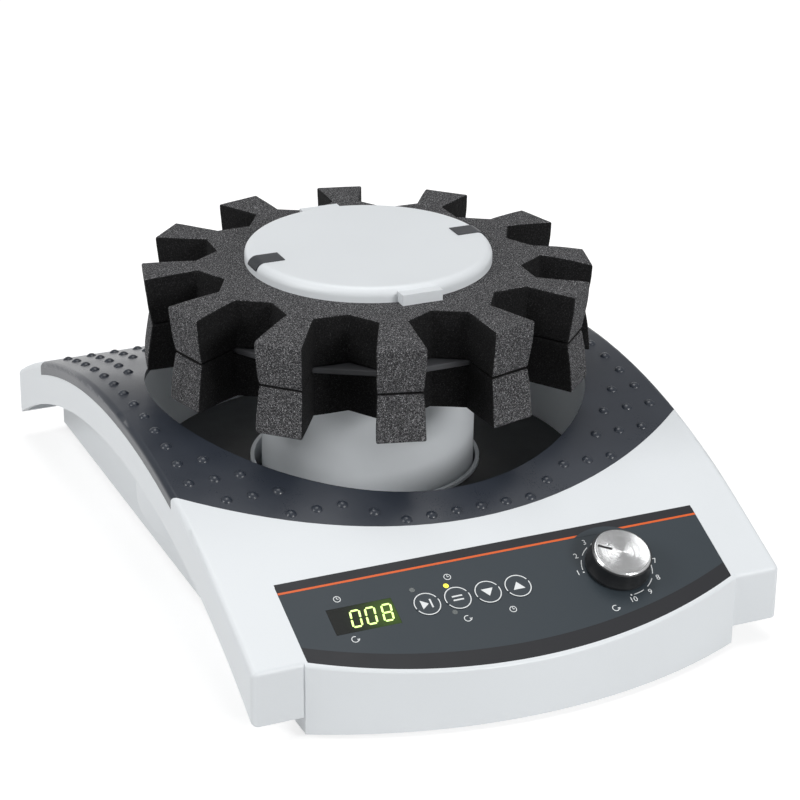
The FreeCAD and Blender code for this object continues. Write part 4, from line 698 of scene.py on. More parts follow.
def dressed(
    obj: bpy.types.Object, body: str, replaced: tuple = ()
) -> bpy.types.Object:
    """Lets a piece ride on a CAD body and reports it.

    Args:
        obj: the piece.
        body: the CAD body that carries it.
        replaced: the CAD nodes that it stands for.
    Returns:
        The same piece.
    """
    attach(obj, body)
    if replaced:
        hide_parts(*replaced)
    LOG.info("%s rides on %s, %d faces", obj.name, body, len(obj.data.polygons))
    return obj


@dataclass
class FoamHead:
    """Two foam rings with twelve teeth and the plate let into the lower one, in millimetres."""

    centre: tuple = (1.5, 17.618)
    joint: float = 123.4
    layer: float = 25.3
    bore: float = 57.8
    tip: float = 112.3
    root: float = 77.4
    corner: tuple = (85.6, 15.6)
    mouth_half: float = 17.3
    seat: float = 88.7
    seat_depth: float = 3.0
    joint_gap: float = 0.12
    teeth: int = 12
    wobble: float = 0.07
    rounding: float = 0.8
    flare: float = 1.2
    pinch: float = 2.0
    squeeze: float = 0.08
    parting: float = 0.3
    sags: tuple = (2.2, 1.2, 1.1, 0.8, 1.2, 1.9, 3.0, 4.8, 3.8, 1.0, 0.4, 5.0)
    sag_power: float = 1.3
    give_upper: tuple = (0.55, 0.45)
    give_lower: tuple = (0.5, -0.3)
    wave_rates: tuple = (0.21, 0.37)
    wave_share: tuple = (1, 1, 0.4)
    across: int = 9
    rays: int = 11
    levels: int = 10
    plate_apothem: float = 85.5
    plate_thickness: float = 3.0
    plate_rounding: float = 0.5
    plate_gap: float = 0.02
    plate_steps: int = 10

    def tooth_points(self) -> tuple[np.ndarray, np.ndarray, np.ndarray]:
        """Root, corner and tip end of one slot wall, seen from the middle of the tooth beside it."""
        half_step = math.pi / self.teeth
        cosine, sine = math.cos(half_step), math.sin(half_step)
        turn = np.array(((cosine, sine), (-sine, cosine)))
        root = turn @ np.array((self.root, 0.0))
        corner = turn @ np.array(self.corner)
        mouth = turn @ np.array((self.tip, self.mouth_half))
        way = (mouth - corner) / (mouth[0] - corner[0])
        return root, corner, corner + way * (self.tip - corner[0])

    def tooth_strip(self, stations: np.ndarray) -> np.ndarray:
        """Rows of points across a tooth at these distances from the axis."""
        _, corner, end = self.tooth_points()
        half = np.interp(stations, (corner[0], end[0]), (-corner[1], -end[1]))
        y = half[:, None] * np.linspace(-1, 1, self.across)
        return np.stack(np.broadcast_arrays(stations[:, None], y), axis=-1)

    def sector(self, seated: bool) -> Surface:
        """One tooth with its share of the ring, above the joint: ruled faces, then walls along their edges.

        Args:
            seated: whether the plate's seat is cut into the joint face.
        Returns:
            The patches in millimetres, with the joint face and the slot walls in the second finish, a darker
            foam that is painted shade of the slots and the joint.
        """
        root, corner, _ = self.tooth_points()
        half_step = math.pi / self.teeth
        neck_angle = math.atan2(-corner[1], corner[0])
        rays = np.linspace(0, 1, self.rays)[:, None, None]
        share = np.linspace(0, 1, self.across)
        slot_angle = -half_step + (half_step - neck_angle) * share
        slot_inner = self.bore * np.stack((np.cos(slot_angle), np.sin(slot_angle)), axis=1)
        slot_outer = root + (corner - root) * share[:, None]
        neck_turn = neck_angle * np.linspace(-1, 1, self.across)
        neck_inner = self.bore * np.stack((np.cos(neck_turn), np.sin(neck_turn)), axis=1)
        seat_patch = self.tooth_strip(np.array((corner[0], self.seat)))
        tip_patch = self.tooth_strip(np.linspace(self.seat, self.tip, self.levels))
        neck_patch = neck_inner + (seat_patch[0] - neck_inner) * rays
        slot_patch = slot_inner + (slot_outer - slot_inner) * rays
        flip = np.array((1, -1))
        heights = np.append(self.joint_gap, np.linspace(self.seat_depth, self.layer, self.levels))
        inner_heights = heights[1:] if seated else heights
        made = Surface()
        inner_patches = (slot_patch, slot_patch * flip, neck_patch, seat_patch)
        for patch in (*inner_patches, tip_patch):
            made.grid(raised(patch, self.layer))
        made.grid(fence(tip_patch[-1], heights))
        # faces from here on take the darker foam, painted shade of the slots and the joint
        made.finish_next = 1
        for patch in inner_patches:
            made.grid(raised(patch, inner_heights[0]))
        made.grid(raised(tip_patch, self.joint_gap))
        for path in (slot_outer, slot_inner, seat_patch[:, 0]):
            made.grid(fence(path, inner_heights))
            made.grid(fence(path * flip, inner_heights))
        made.grid(fence(neck_inner, inner_heights))
        made.grid(fence(tip_patch[:, 0], heights))
        made.grid(fence(tip_patch[:, -1], heights))
        if seated:
            made.grid(fence(tip_patch[0], heights[:2]))
        return made

    def ring(self, name: str, side: int) -> bpy.types.Object:
        """One foam ring: teeth pinched at the joint, flared at the outer face and sagging at their tips.

        Args:
            name: the piece's name.
            side: 1 for the upper ring and -1 for the lower one.
        Returns:
            The ring's object.
        """
        made = self.sector(seated=side < 0)
        points = np.concatenate(made.points)
        neck = self.tooth_points()[1][0]
        reach = np.clip((points[:, 0] - neck) / (self.tip - neck), 0, 1)
        rise = points[:, 2] / self.layer
        waist = (1 - rise) ** 2
        points[:, 0] += reach * (self.flare * rise - self.pinch * waist)
        points[:, 1] *= 1 - self.squeeze * reach * waist
        points[:, 2] += self.parting * reach * waist
        made.points = [points]
        turns = math.pi / self.teeth * (2 * np.arange(self.teeth) + 1)
        matrices = np.zeros((self.teeth, 3, 3))
        matrices[:, 0, 0] = np.cos(turns)
        matrices[:, 0, 1] = -np.sin(turns)
        matrices[:, 1, 0] = np.sin(turns)
        matrices[:, 1, 1] = np.cos(turns)
        matrices[:, 2, 2] = 1
        made.repeat(matrices)
        points = made.points[0]
        slow, quick = self.wave_rates
        waves = np.sin(points[:, (1, 2, 0)] * slow + side) + np.sin(points[:, (2, 0, 1)] * quick + 2 * side)
        points = points + waves * self.wobble * np.array(self.wave_share)
        points = points * np.array((1, 1, side)) + np.array((*self.centre, self.joint))
        least, more = self.give_upper if side > 0 else self.give_lower
        give = reach ** self.sag_power * (least + more * rise)
        points[:, 2] -= (np.array(self.sags)[:, None] * give).ravel()
        made.points = [points * MM]
        # the second finish paints shade on the slot walls and the joint faces
        ring = made.object(name, FOAM, FOAM_SLOT_SHADE)
        ease(ring, self.rounding)
        return ring

    def plate(self) -> bpy.types.Object:
        """Plate between the rings: a rim with eased edges carried round a twelve-sided path to its bore."""
        angles = np.linspace(0, FULL_TURN, self.teeth * self.plate_steps, endpoint=False)
        step = FULL_TURN / self.teeth
        stretch = 1 / np.cos((angles + step / 2) % step - step / 2)
        ease_by = self.plate_rounding
        low, high, edge = -self.plate_thickness, -self.plate_gap, self.plate_apothem
        profile = np.array((
            (self.bore, low),
            (edge - ease_by, low),
            (edge, low + ease_by),
            (edge, high - ease_by),
            (edge - ease_by, high),
            (self.bore, high),
        ))
        points = turned(profile, angles, True)
        share = (np.append(profile[:, 0], self.bore) - self.bore) / (edge - self.bore)
        points[..., :2] *= (1 + (stretch - 1) * share[:, None])[..., None]
        made = Surface()
        made.grid(points + np.array((*self.centre, self.joint)) * MM, around=True)
        return made.object("mid_plate_rim", PLATE_DARK)

    def build(self) -> None:
        """Makes and dresses the two rings and the plate."""
        for name, side, node in (("foam_ring_lower", -1, "lower_foam"), ("foam_ring_upper", 1, "upper_foam")):
            ring = dressed(self.ring(name, side), "head", (node,))
        dressed(self.plate(), "head", ("mid_plate",))


@dataclass
class MatBumps:
    """Rows of small domes on the rubber mat, in millimetres."""

    pitch: tuple = (13.0, 16.3)
    first_x: float = 6.5
    columns: int = 20
    first_row: float = -127.2
    rows: int = 17
    radius: float = 2.9
    height: float = 1.8
    axis_y: float = 17.618
    hole: float = 116.0
    front_centre: float = 79.0
    front_radius: float = 212.3
    rear: float = 131.0
    margin: tuple = (3.5, 5.5, 6.0)
    narrow_row: float = 33.0
    arch_centre: float = 14.618
    arch_radius: float = 363.0
    arch_peak: float = 87.85
    sink: float = 0.25
    roundness: float = 0.7
    root: float = 0.2
    facets: int = 10
    shares: tuple = (1.0, 0.93, 0.78, 0.52, 0.24)
    extra: tuple = ((-45.5, -119.0), (45.5, -119.0))

    def places(self) -> np.ndarray:
        """Where the domes stand: every point of a grid that lies far enough from the mat's edges."""
        x = self.first_x + self.pitch[0] * (np.arange(self.columns) - self.columns / 2)
        y = self.first_row + self.pitch[1] * np.arange(self.rows)
        grid = np.stack(np.meshgrid(x, y), axis=-1).reshape(-1, 2)
        front = np.hypot(grid[:, 0], grid[:, 1] - self.front_centre) < self.front_radius - self.margin[0]
        beyond_front = grid[:, 1] > self.front_centre
        hole = np.hypot(grid[:, 0], grid[:, 1]) > self.hole + self.margin[1]
        rear = grid[:, 1] < self.rear - self.margin[2]
        narrow = (grid[:, 1] > self.first_row + 1) | (np.abs(grid[:, 0]) < self.narrow_row)
        kept = grid[(front | beyond_front) & hole & rear & narrow]
        return np.concatenate((kept, self.extra))

    def build(self) -> None:
        """One dome is a turned cap, one less the square of its radius to a power, set square to the arch."""
        count = self.facets
        share = np.array(self.shares)
        cap = self.height * (1 - share ** 2) ** self.roundness - self.sink
        profile = np.stack((self.radius * share, cap), axis=1)
        dome = turned(profile, np.linspace(0, FULL_TURN, count, endpoint=False)) / MM
        top = np.array(((0.0, 0.0, self.height - self.sink),))
        foot = np.array(((0.0, 0.0, -self.sink - self.root),))
        points = np.concatenate((dome.reshape(-1, 3), top, foot))
        spots = self.places()
        y = spots[:, 1] + self.axis_y
        lean = np.arcsin((y - self.arch_centre) / self.arch_radius)
        z = self.arch_peak - self.arch_radius * (1 - np.cos(lean))
        cosine, sine = np.cos(lean)[:, None], np.sin(lean)[:, None]
        placed_x = points[:, 0] + spots[:, :1]
        placed_y = points[:, 1] * cosine + points[:, 2] * sine + y[:, None]
        placed_z = points[:, 2] * cosine - points[:, 1] * sine + z[:, None]
        placed = np.stack((placed_x, placed_y, placed_z), axis=-1)
        index = np.arange(len(share) * count).reshape(len(share), count)
        following = np.roll(index, -1, axis=1)
        quads = np.stack((index[:-1], index[1:], following[1:], following[:-1]), axis=-1).reshape(-1, 4)
        tip, base = len(points) - 2, len(points) - 1
        caps = np.stack((np.full(count, tip), index[-1], following[-1]), axis=1)
        floors = np.stack((np.full(count, base), following[0], index[0]), axis=1)
        made = Surface()
        steps = np.arange(len(spots))[:, None, None] * len(points)
        made.add(placed.reshape(-1, 3) * MM, (quads + steps).reshape(-1, 4))
        # the fans add no points and count from the first dome again
        made.count = 0
        for fan in (caps, floors):
            made.add(np.zeros((0, 3)), (fan + steps).reshape(-1, 3))
        dressed(made.object("mat_bumps", MAT_RUBBER, crease=60), "housing")


# for each key, the two edges of every plate of its sign, in millimetres from the key's middle
KEY_MARKS = {
    "start_key": (
        (((-2.9, -2.6), (-2.9, 2.6)), ((0.6, -0.1), (0.6, 0.1))),
        (((1.6, -2.5), (1.6, 2.5)), ((2.4, -2.5), (2.4, 2.5))),
    ),
    "mode_key": (
        (((-2.6, -1.5), (2.6, -1.5)), ((-2.6, -0.7), (2.6, -0.7))),
        (((-2.6, 0.7), (2.6, 0.7)), ((-2.6, 1.5), (2.6, 1.5))),
    ),
    "down_key": ((((-3.0, -1.9), (3.0, -1.9)), ((-0.1, 2.3), (0.1, 2.3))),),
    "up_key": ((((-3.0, 1.9), (3.0, 1.9)), ((-0.1, -2.3), (0.1, -2.3))),),
}


@dataclass
class PanelPrint:
    """What is printed on the panel, in millimetres on the slope."""

    half_width: float = 108.25
    top: float = -1.0
    stripe: tuple = (4.0, 5.15)
    edge_side: float = 44.6
    edge_sag: float = 22.2
    strip_side: float = 36.0
    strip_sag: float = 21.8
    knob: tuple = (55.5, 26.3)
    field_radius: float = 24.8
    field_gap: float = 0.3
    field_margin: float = 0.2
    keys: tuple = (-42.6, -27.2, -11.8, 3.6)
    key_along: float = 26.2
    ring_radius: float = 6.2
    ring_width: float = 0.5
    ring_starts: tuple = (28, 208)
    ring_sweep: float = 168
    dial_centre: tuple = (55.3, 26.7)
    dial_radius: float = 17.2
    number_radius: float = 20.0
    number_size: float = 4.2
    first_number: float = 177.0
    number_step: float = -29.8
    numbers: int = 10
    dial_gap: float = 5.0
    dial_line: float = 0.4
    dot: tuple = (1.2, 0.9)
    clocks: tuple = ((-82.6, 13.6), (-27.2, 13.2), (-4.1, 38.4))
    turns: tuple = ((-82.6, 37.4), (-27.2, 38.4), (44.2, 49.4))
    sign_radius: float = 1.6
    clock_line: float = 0.36
    hand_line: float = 0.34
    hands: tuple = ((0, -1.1), (0.8, 0))
    turn_line: float = 0.4
    arrow: tuple = (((0.8, 0), (2.4, 0)), ((1.55, 1.3), (1.65, 1.3)))
    key_heights: tuple = (0.28, 0.36)

    def sag_line(self, side: float, sag: float, x: np.ndarray) -> np.ndarray:
        """Arc through both sides and the sagging middle, with the radius of its chord and sag."""
        radius = (self.half_width ** 2 + sag ** 2) / (2 * sag)
        along = side + np.sqrt(radius ** 2 - x ** 2) - (radius - sag)
        return np.stack((x, along), axis=1)

    def strips(self) -> None:
        """Dark strips along the panel's upper and lower edges, and the stripe."""
        x = np.linspace(-self.half_width, self.half_width, 61)
        top, first, last = (
            np.stack((x, np.full(len(x), along)), axis=1) for along in (self.top, *self.stripe)
        )
        dark = Surface()
        dark.band(top, first, Print.UNDER, Print.FIRST)
        lower = self.sag_line(self.strip_side, self.strip_sag, x)
        dark.band(lower, self.sag_line(self.edge_side, self.edge_sag, x), Print.UNDER, Print.FIRST)
        dressed(dark.object("panel_dark_strips", Ink.DARK.value), "housing")
        orange = Surface()
        orange.band(first, last, Print.UNDER, Print.PROUD)
        dressed(orange.object("panel_stripe", Ink.ORANGE.value), "housing")

    def knob_field(self) -> None:
        """Plain field round the knob, which covers the stripe: a circle cut off below the stripe."""
        foot = self.stripe[1] + self.field_gap
        reach = math.sqrt(self.field_radius ** 2 - (self.knob[1] - foot) ** 2)
        offset = np.linspace(-reach, reach, 33)
        crown = self.knob[1] - np.sqrt(self.field_radius ** 2 - offset ** 2)
        upper = np.stack((self.knob[0] + offset, np.maximum(crown, self.top + self.field_margin)), axis=1)
        under = np.stack((self.knob[0] + offset, np.full(len(offset), foot)), axis=1)
        field = Surface()
        field.band(upper, under, Print.UNDER, Print.OVER)
        dressed(field.object("knob_field", PANEL), "housing")

    def dial(self) -> None:
        """Dial arc in pieces between the numbers, a dot at each end, and the numbers."""
        made = Surface()
        angles = self.first_number + self.number_step * np.arange(self.numbers)
        for number, angle in enumerate(angles, 1):
            place = arc(self.dial_centre, self.number_radius, angle, angle, 1)[0]
            made.add(*lettering(str(number), self.number_size, *place))
        for start, end in zip(angles[:-1], angles[1:]):
            stretch = arc(self.dial_centre, self.dial_radius, start - self.dial_gap, end + self.dial_gap, 12)
            made.stroke(stretch, self.dial_line, Print.UNDER, Print.PROUD)
        half, width = self.dot
        for end in (angles[0], angles[-1]):
            spot = arc(self.dial_centre, self.dial_radius, end - half, end + half, 4)
            made.stroke(spot, width, Print.UNDER, Print.PROUD)
        dressed(made.object("dial_print", Ink.WHITE.value, merge=0.0005), "housing")

    def signs(self) -> None:
        """Small clock and turning-arrow signs for time and speed."""
        signs = Surface()
        for place in self.clocks:
            signs.stroke(arc(place, self.sign_radius, 90, 450, 28), self.clock_line, Print.UNDER, Print.PROUD)
            for hand in self.hands:
                path = np.array(place) + np.array((ORIGIN[:2], hand))
                signs.stroke(path, self.hand_line, Print.UNDER, Print.PROUD)
        for place in self.turns:
            signs.stroke(arc(place, self.sign_radius, 60, 360, 24), self.turn_line, Print.UNDER, Print.PROUD)
            base, point = np.array(place) + np.array(self.arrow)
            signs.band(base, point, Print.UNDER, Print.PROUD)
        dressed(signs.object("panel_signs", Ink.WHITE.value), "housing")

    def key_signs(self) -> None:
        """Open rings and signs on the keys, which move with them: start bar, selector, down and up."""
        for x, (body, bands) in zip(self.keys, KEY_MARKS.items()):
            middle = (x, self.key_along)
            made = Surface()
            for start in self.ring_starts:
                part = arc(middle, self.ring_radius, start, start + self.ring_sweep, 40)
                made.stroke(part, self.ring_width, *self.key_heights)
            for band in bands:
                made.band(*(np.array(middle) + np.array(band)), *self.key_heights)
            dressed(made.object(f"{body}_sign", Ink.WHITE.value), body)

    def build(self) -> None:
        """Prints the panel."""
        self.strips()
        self.knob_field()
        self.dial()
        self.signs()
        self.key_signs()


# side and row of both ends of each bar of a digit
BAR_ENDS = {
    "a": ((0, 0), (1, 0)),
    "b": ((1, 0), (1, 1)),
    "c": ((1, 1), (1, 2)),
    "d": ((0, 2), (1, 2)),
    "e": ((0, 1), (0, 2)),
    "f": ((0, 0), (0, 1)),
    "g": ((0, 1), (1, 1)),
}


@dataclass
class Display:
    """Lit digits of the display, in millimetres on the slope."""

    lefts: tuple = (-80.9, -73.5, -65.4)
    upper: float = 21.7
    lower: float = 30.8
    width: float = 4.4
    lean: float = 1.5
    bar: float = 0.95
    gap: float = 0.25
    end_share: float = 0.06
    heights: tuple = (0.02, 0.1)
    segments: tuple = ("abcdef", "abcdef", "abcdefg")
    lit: Lit = Lit("digit_light", tone(232, 255, 176), tone(186, 238, 96), 1.0)

    def corner(self, left: float, side: int, row: int) -> np.ndarray:
        """A corner of the leaning figure eight, at its left or right side and one of its three rows."""
        along = (self.upper, (self.upper + self.lower) / 2, self.lower)[row]
        lean = self.lean * (self.lower - along) / (self.lower - self.upper)
        return np.array((left + side * self.width + lean, along))

    def build(self) -> None:
        """Each lit bar is a narrow six-sided plate between two corners of the figure eight."""
        inset = self.gap + self.bar / 2
        breadth = np.array((self.end_share, 1, 1, self.end_share))[:, None]
        made = Surface()
        for left, lit in zip(self.lefts, self.segments):
            for name in lit:
                start, end = (self.corner(left, *place) for place in BAR_ENDS[name])
                reach = np.linalg.norm(end - start)
                way = (end - start) / reach
                side = np.array((-way[1], way[0])) * self.bar / 2
                stations = np.array((self.gap, inset, reach - inset, reach - self.gap))
                path = start + stations[:, None] * way
                made.band(path - side * breadth, path + side * breadth, *self.heights)
        dressed(made.object("display_digits", self.lit), "housing")


@dataclass
class SpeedKnob:
    """Knob skirt, spun cap and pointer about the knob's own axis, in millimetres."""

    x: float = 55.5
    along: float = 26.3
    foot: float = 15.8
    waist: float = 14.7
    lift: float = 0.5
    top: float = 10.3
    wall: float = 2.4
    roof: float = 4.0
    cap: float = 14.0
    cap_bottom: float = 9.7
    cap_top: float = 11.1
    shaft: float = 3.1
    pointer_angle: float = 148.5
    pointer: tuple = (5.0, 12.0)
    pointer_width: float = 1.1
    pointer_heights: tuple = (0.3, 0.03)
    heel_radius: float = 1.2
    brow_radius: float = 0.6
    flank_power: float = 2.2
    flank_margin: float = 2.0
    cap_gap: float = 0.03
    cap_steps: tuple = ((0.0, 0.75), (0.7, 0.05), (1.0, 0.0), (1.3, 0.1))
    dish: tuple = ((9.0, 0.16), (4.0, 0.2), (0.0, 0.2))
    facets: int = 96

    def placed(self, surface: Surface) -> None:
        """Sets a shape made about the z axis square on the panel at the knob's place."""
        turn = np.array(Matrix.Rotation(SLOPE.angle, 3, "X"))
        foot = np.array(SLOPE.place(self.x, self.along))
        surface.points = [points @ turn.T + foot for points in surface.points]

    def build(self) -> None:
        """Turns the skirt and the cap and lays the pointer on it."""
        bend = np.radians(np.linspace(0, 90, 6))
        rise = np.linspace(0, 1, 12)
        heel_radius, brow_radius = self.heel_radius, self.brow_radius
        draw = (self.foot - self.waist) * (1 - (1 - rise) ** self.flank_power)
        climb = self.lift + heel_radius + rise * (self.top - self.lift - self.flank_margin)
        flank = np.stack((self.foot - draw, climb), axis=1)
        heel = np.stack((np.sin(bend), -np.cos(bend)), axis=1) * heel_radius
        heel = heel + np.array((self.foot - heel_radius, self.lift + heel_radius))
        brow = np.stack((np.cos(bend), np.sin(bend)), axis=1) * brow_radius
        brow = brow + np.array((self.waist - brow_radius, self.top - brow_radius))
        inside = (
            (self.cap + self.cap_gap, self.top),
            (self.cap + self.cap_gap, self.cap_bottom),
            (self.shaft, self.cap_bottom),
            (self.shaft, self.top - self.roof),
            (self.waist - self.wall, self.top - self.roof),
            (self.foot - self.wall, self.lift),
        )
        skirt = Surface()
        skirt.lathe(np.concatenate((heel, flank, brow, inside)), self.facets, True)
        self.placed(skirt)
        dressed(skirt.object("knob_skirt", KNOB_BLACK), "knob", ("speed_knob",))
        profile = np.concatenate((
            ((0, self.cap_bottom), (self.cap, self.cap_bottom)),
            [(self.cap - inset, self.cap_top - depth) for inset, depth in self.cap_steps],
            [(radius, self.cap_top - depth) for radius, depth in self.dish],
        ))
        face = Surface()
        face.lathe(profile, self.facets, False)
        self.placed(face)
        finish = SpunMetal("cap_spun", SLOPE.place(self.x, self.along), SLOPE.normal())
        dressed(face.object("knob_face", finish, crease=25), "knob", ("knob_cap",))
        turn = math.radians(self.pointer_angle)
        way = np.array((math.cos(turn), -math.sin(turn)))
        mark = Surface()
        path = np.array((self.x, self.along)) + np.linspace(*self.pointer, 6)[:, None] * way
        low, high = (self.cap_top - depth for depth in self.pointer_heights)
        mark.stroke(path, self.pointer_width, low, high)
        dressed(mark.object("knob_pointer", KNOB_BLACK), "knob")


@dataclass
class Latches:
    """Sliding latches of the lid with a curled lip over the rim, in millimetres from the head's middle."""

    centre: tuple = (1.5, 17.618)
    half: float = 5.5
    inner: float = 50.0
    outer: float = 63.0
    top: float = 156.4
    sheet: float = 2.6
    drop: float = 152.2
    lip: float = 2.2
    curl: float = 4.9
    flap: float = 0.34
    flap_reach: float = 2.9
    rounding: float = 0.15

    def build(self) -> None:
        """A section of plate and curled lip in the x-z plane, carried across the latch's width."""
        foot = math.asin((self.drop - self.top + self.curl) / self.curl)
        bend = np.linspace(math.pi / 2, foot, 9)
        over = np.stack((np.cos(bend), np.sin(bend)), axis=1) * self.curl
        over = over + np.array((self.outer, self.top)) - self.curl
        section = np.concatenate((
            ((self.inner, self.top - self.sheet), (self.inner, self.top - self.flap)),
            ((self.inner - self.flap_reach, self.top - self.flap), (self.inner - self.flap_reach, self.top)),
            over,
            ((self.outer - self.lip, self.drop), (self.outer - self.lip, self.top - self.sheet)),
        ))
        width = np.array((-self.half, self.half))
        for side, body, node in ((-1, "latch_left", "lid_latch_left"), (1, "latch_right", "lid_latch_right")):
            x = self.centre[0] + side * section[:, 0]
            rows = np.stack(
                [np.stack((x, np.full(len(x), self.centre[1] + y), section[:, 1]), axis=1) for y in width]
            ) * MM
            made = Surface()
            made.grid(rows, around=True)
            for row in rows:
                made.add(row, np.arange(len(row))[None, :])
            strip = made.object(f"{body}_strip", LATCH_DARK, crease=30)
            ease(strip, self.rounding, 2, 50)
            dressed(strip, body, (node,))


@dataclass
class RockerMarks:
    """On and off marks on the mains rocker at the rear, in millimetres."""

    x: float = 34.0
    face: float = 197.4
    middle: float = 21.0
    reach: float = 4.6
    half: float = 1.7
    width: float = 0.56
    depth: float = 0.5

    def build(self) -> None:
        """A bar and a ring as thin plates along the rocker's face."""
        made = Surface()
        angles = np.linspace(0, FULL_TURN, 25)
        ring = np.stack((np.cos(angles), np.sin(angles)), axis=1) * self.half
        ring = ring + np.array((self.x, self.middle - self.reach))
        height = self.middle + self.reach
        bar = line((self.x, height - self.half), (self.x, height + self.half), 4)
        back = self.face - self.depth
        for path in (ring, bar):
            first, last = edges(path, self.width)
            rows = [
                np.stack((edge[:, 0], np.full(len(edge), y), edge[:, 1]), axis=1)
                for edge, y in ((first, back), (last, back), (last, self.face), (first, self.face))
            ]
            made.tube(np.stack(rows, axis=1) * MM)
        dressed(made.object("rocker_marks", Ink.WHITE.value), "rocker")


class Finishes:
    """Finishes of the CAD nodes by their material slot."""

    def __init__(self, record: dict) -> None:
        """Pairs each slot of the record with a finish."""
        white = tone(222, 226, 229)
        glow_place = SLOPE.place(-62.0, 26.2)
        lit_place = SLOPE.place(-29.8, 18.0)
        self.by_slot = {
            "housing_white": Moulded("housing_white", white, 0.42, 0.06, 0.018, 60.0, 0.8, 0.012),
            # lighter than the housing's white: painted light on the bowl's walls, which lie in shade
            "liner_white": Moulded("liner_white", tone(232, 236, 239), 0.46, 0.06, 0.02, 50.0, 0.8, 0.012),
            "mat_rubber": MAT_RUBBER,
            "floor_dark": Moulded("floor_dark", tone(22, 24, 26), 0.4, 0.1, 0.12, 20.0, 0.6, 0.02),
            "foot_rubber": Moulded("foot_rubber", tone(34, 34, 36), 0.8, 0.08, 0.1, 6.0, 0.5, 0.03),
            "foam_charcoal": FOAM,
            "plate_dark": PLATE_DARK,
            "foil_slate": PANEL,
            "window_dark": DarkWindow("window_dark", glow_place),
            "key_slate": Moulded("key_slate", tone(52, 60, 66), 0.48, 0.07, 0.05, 6.0, 0.4, 0.008, 0.35),
            "light_lens": LightPipes("light_lens", lit_place),
            "knob_black": KNOB_BLACK,
            "cap_metal": Metal("cap_metal", tone(214, 215, 216), 0.3),
            "steel": Metal("steel", tone(172, 174, 176), 0.4),
            "alloy": Metal("alloy", tone(196, 198, 200), 0.48, (4, 4, 1)),
            "brass": Metal("brass", tone(206, 172, 100), 0.34),
            "board_green": Moulded("board_green", tone(30, 88, 54), 0.4, 0.08, 0.14, 5.0, 0.6, 0.02),
            "black_plastic": Moulded("black_plastic", tone(32, 33, 35), 0.44, 0.08, 0.1, 10.0, 0.6, 0.015),
            "latch_dark": LATCH_DARK,
            "belt_rubber": Moulded("belt_rubber", tone(28, 28, 30), 0.75, 0.1, 0.12, 4.0, 0.5, 0.04),
        }
        self.slots = {entry["node"]: entry["material_slot"] for entry in record["subparts"]}

    def dress(self, nodes: dict) -> None:
        """Gives every CAD node the finish of its slot."""
        for name, obj in nodes.items():
            obj.data.materials.clear()
            obj.data.materials.append(self.by_slot[self.slots[name]].material())


@dataclass(frozen=True)
class Lamp:
    """A soft lamp: its place and its width and height in metres, and its power in watts."""

    name: str
    place: tuple
    size: tuple
    power: float


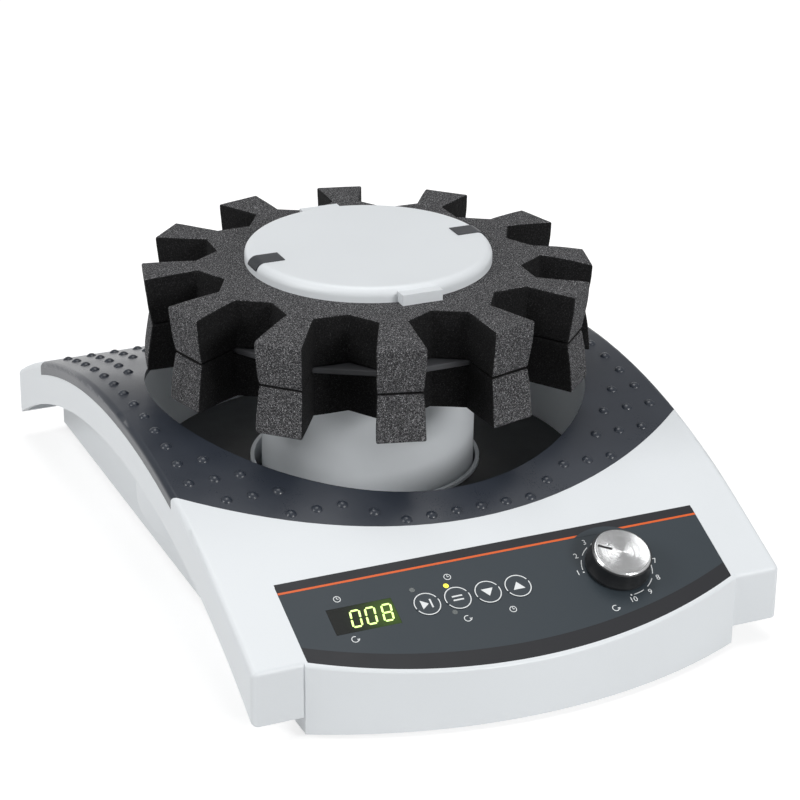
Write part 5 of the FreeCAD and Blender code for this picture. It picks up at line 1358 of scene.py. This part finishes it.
@dataclass
class Studio:
    """Pale floor, white surroundings, soft lights and the camera, in metres."""

    eye: tuple = (-0.48087, -1.11349, 0.61072)
    azimuth: float = -23.874
    elevation: float = 23.7227
    roll: float = 0.5736
    lens: float = 117.0
    floor_size: float = 6.0
    ambient: float = 0.27
    mirrored: float = 0.12
    floor_glow: float = 0.68
    floor_tones: tuple = ((0.52, 0.52, 0.52, 1), (0.54, 0.54, 0.54, 1))
    aim: tuple = (0, 0, 0.08)
    lamps: tuple = (
        Lamp("lamp_key", (-1.75, -0.2, 1.2), (0.7, 0.7), 14.5),
        Lamp("lamp_top", (0.1, 0.2, 1.8), (1.0, 1.0), 12),
        Lamp("lamp_front", (0.75, -1.93, 0.88), (0.8, 0.5), 24),
        Lamp("lamp_low", (-1.95, 0.0, 0.24), (0.5, 0.3), 4.5),
        Lamp("lamp_rear", (0.4, 2.2, 0.28), (2.4, 0.48), 4.5),
    )

    def world(self) -> None:
        """White to the eye, a plain grey light for the object and a little more of it in mirrors."""
        made = bpy.data.worlds.new("surroundings")
        made.use_nodes = True
        board = Board(made.node_tree)
        path = board.node("ShaderNodeLightPath")
        seen = Value(board, path.outputs["Is Camera Ray"]) * (1 - self.ambient)
        level = seen + Value(board, path.outputs["Is Glossy Ray"]) * self.mirrored + self.ambient
        sky = board.node("ShaderNodeBackground", None, {"Color": (1, 1, 1, 1), "Strength": level})
        board.node("ShaderNodeOutputWorld", None, {"Surface": sky.outputs[0]})
        bpy.context.scene.world = made

    def floor(self) -> None:
        """Flat pale floor that adds a little of its own white to the eye, so only the shadow shows."""
        half = self.floor_size / 2
        made = Surface()
        side = np.linspace(-half, half, 3)
        made.grid(np.stack((*np.meshgrid(side, side), np.zeros((3, 3))), axis=-1))
        material = bpy.data.materials.new("studio_floor")
        material.use_nodes = True
        board = Board(material.node_tree)
        cloud = board.noise(400.0, 2)
        pale = board.mix(cloud, *self.floor_tones)
        matt = board.node("ShaderNodeBsdfDiffuse", None, {"Color": pale})
        path = board.node("ShaderNodeLightPath")
        seen = Value(board, path.outputs["Is Camera Ray"]) + Value(board, path.outputs["Is Glossy Ray"])
        glow = board.node("ShaderNodeEmission", None, {"Strength": seen * self.floor_glow})
        inputs = {"Shader": matt.outputs[0], "Shader_001": glow.outputs[0]}
        both = board.node("ShaderNodeAddShader", None, inputs)
        board.node("ShaderNodeOutputMaterial", None, {"Surface": both.outputs[0]})
        plane = made.object("floor")
        plane.data.materials.append(material)
        if plane.data.polygons[0].normal.z < 0:
            plane.data.flip_normals()

    def light(self, lamp: Lamp) -> None:
        """Hangs a lamp, which the camera doesn't see, and turns it to the middle of the mixer."""
        data = bpy.data.lights.new(lamp.name, "AREA")
        data.energy = lamp.power
        data.shape = "RECTANGLE"
        data.size, data.size_y = lamp.size
        holder = bpy.data.objects.new(lamp.name, data)
        holder.location = lamp.place
        holder.visible_camera = False
        way = Vector(self.aim) - Vector(lamp.place)
        holder.rotation_euler = way.to_track_quat("-Z", "Y").to_euler()
        bpy.context.scene.collection.objects.link(holder)

    def camera(self) -> None:
        """Camera at the photograph's angle: turned about z, raised, and rolled about its own view."""
        turn = math.radians(self.azimuth)
        rise = math.radians(self.elevation)
        roll = math.radians(self.roll)
        back = Vector((math.sin(turn) * math.cos(rise), -math.cos(turn) * math.cos(rise), math.sin(rise)))
        flat = Vector((math.cos(turn), math.sin(turn), 0))
        upright = back.cross(flat)
        right = flat * math.cos(roll) + upright * math.sin(roll)
        up = back.cross(right)
        data = bpy.data.cameras.new("camera")
        data.lens = self.lens
        holder = bpy.data.objects.new("camera", data)
        frame = Matrix((right, up, back)).transposed().to_4x4()
        frame.translation = Vector(self.eye)
        holder.matrix_world = frame
        bpy.context.scene.collection.objects.link(holder)
        bpy.context.scene.camera = holder

    def build(self) -> None:
        """Sets up the studio."""
        self.world()
        self.floor()
        for lamp in self.lamps:
            self.light(lamp)
        self.camera()
        bpy.context.scene.view_settings.view_transform = "Standard"


def clear_scene() -> None:
    """Removes what a new Blender file starts with."""
    for obj in list(bpy.data.objects):
        bpy.data.objects.remove(obj)


def main() -> None:
    """Loads the frame, dresses it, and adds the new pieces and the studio."""
    logging.basicConfig(level=logging.INFO, format="%(name)s: %(message)s")
    clear_scene()
    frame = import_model()
    Finishes(frame["record"]).dress(frame["nodes"])
    for assembly in (FoamHead(), MatBumps(), PanelPrint(), Display(), SpeedKnob(), Latches(), RockerMarks()):
        assembly.build()
    Studio().build()


if __name__ == "__main__":
    main()
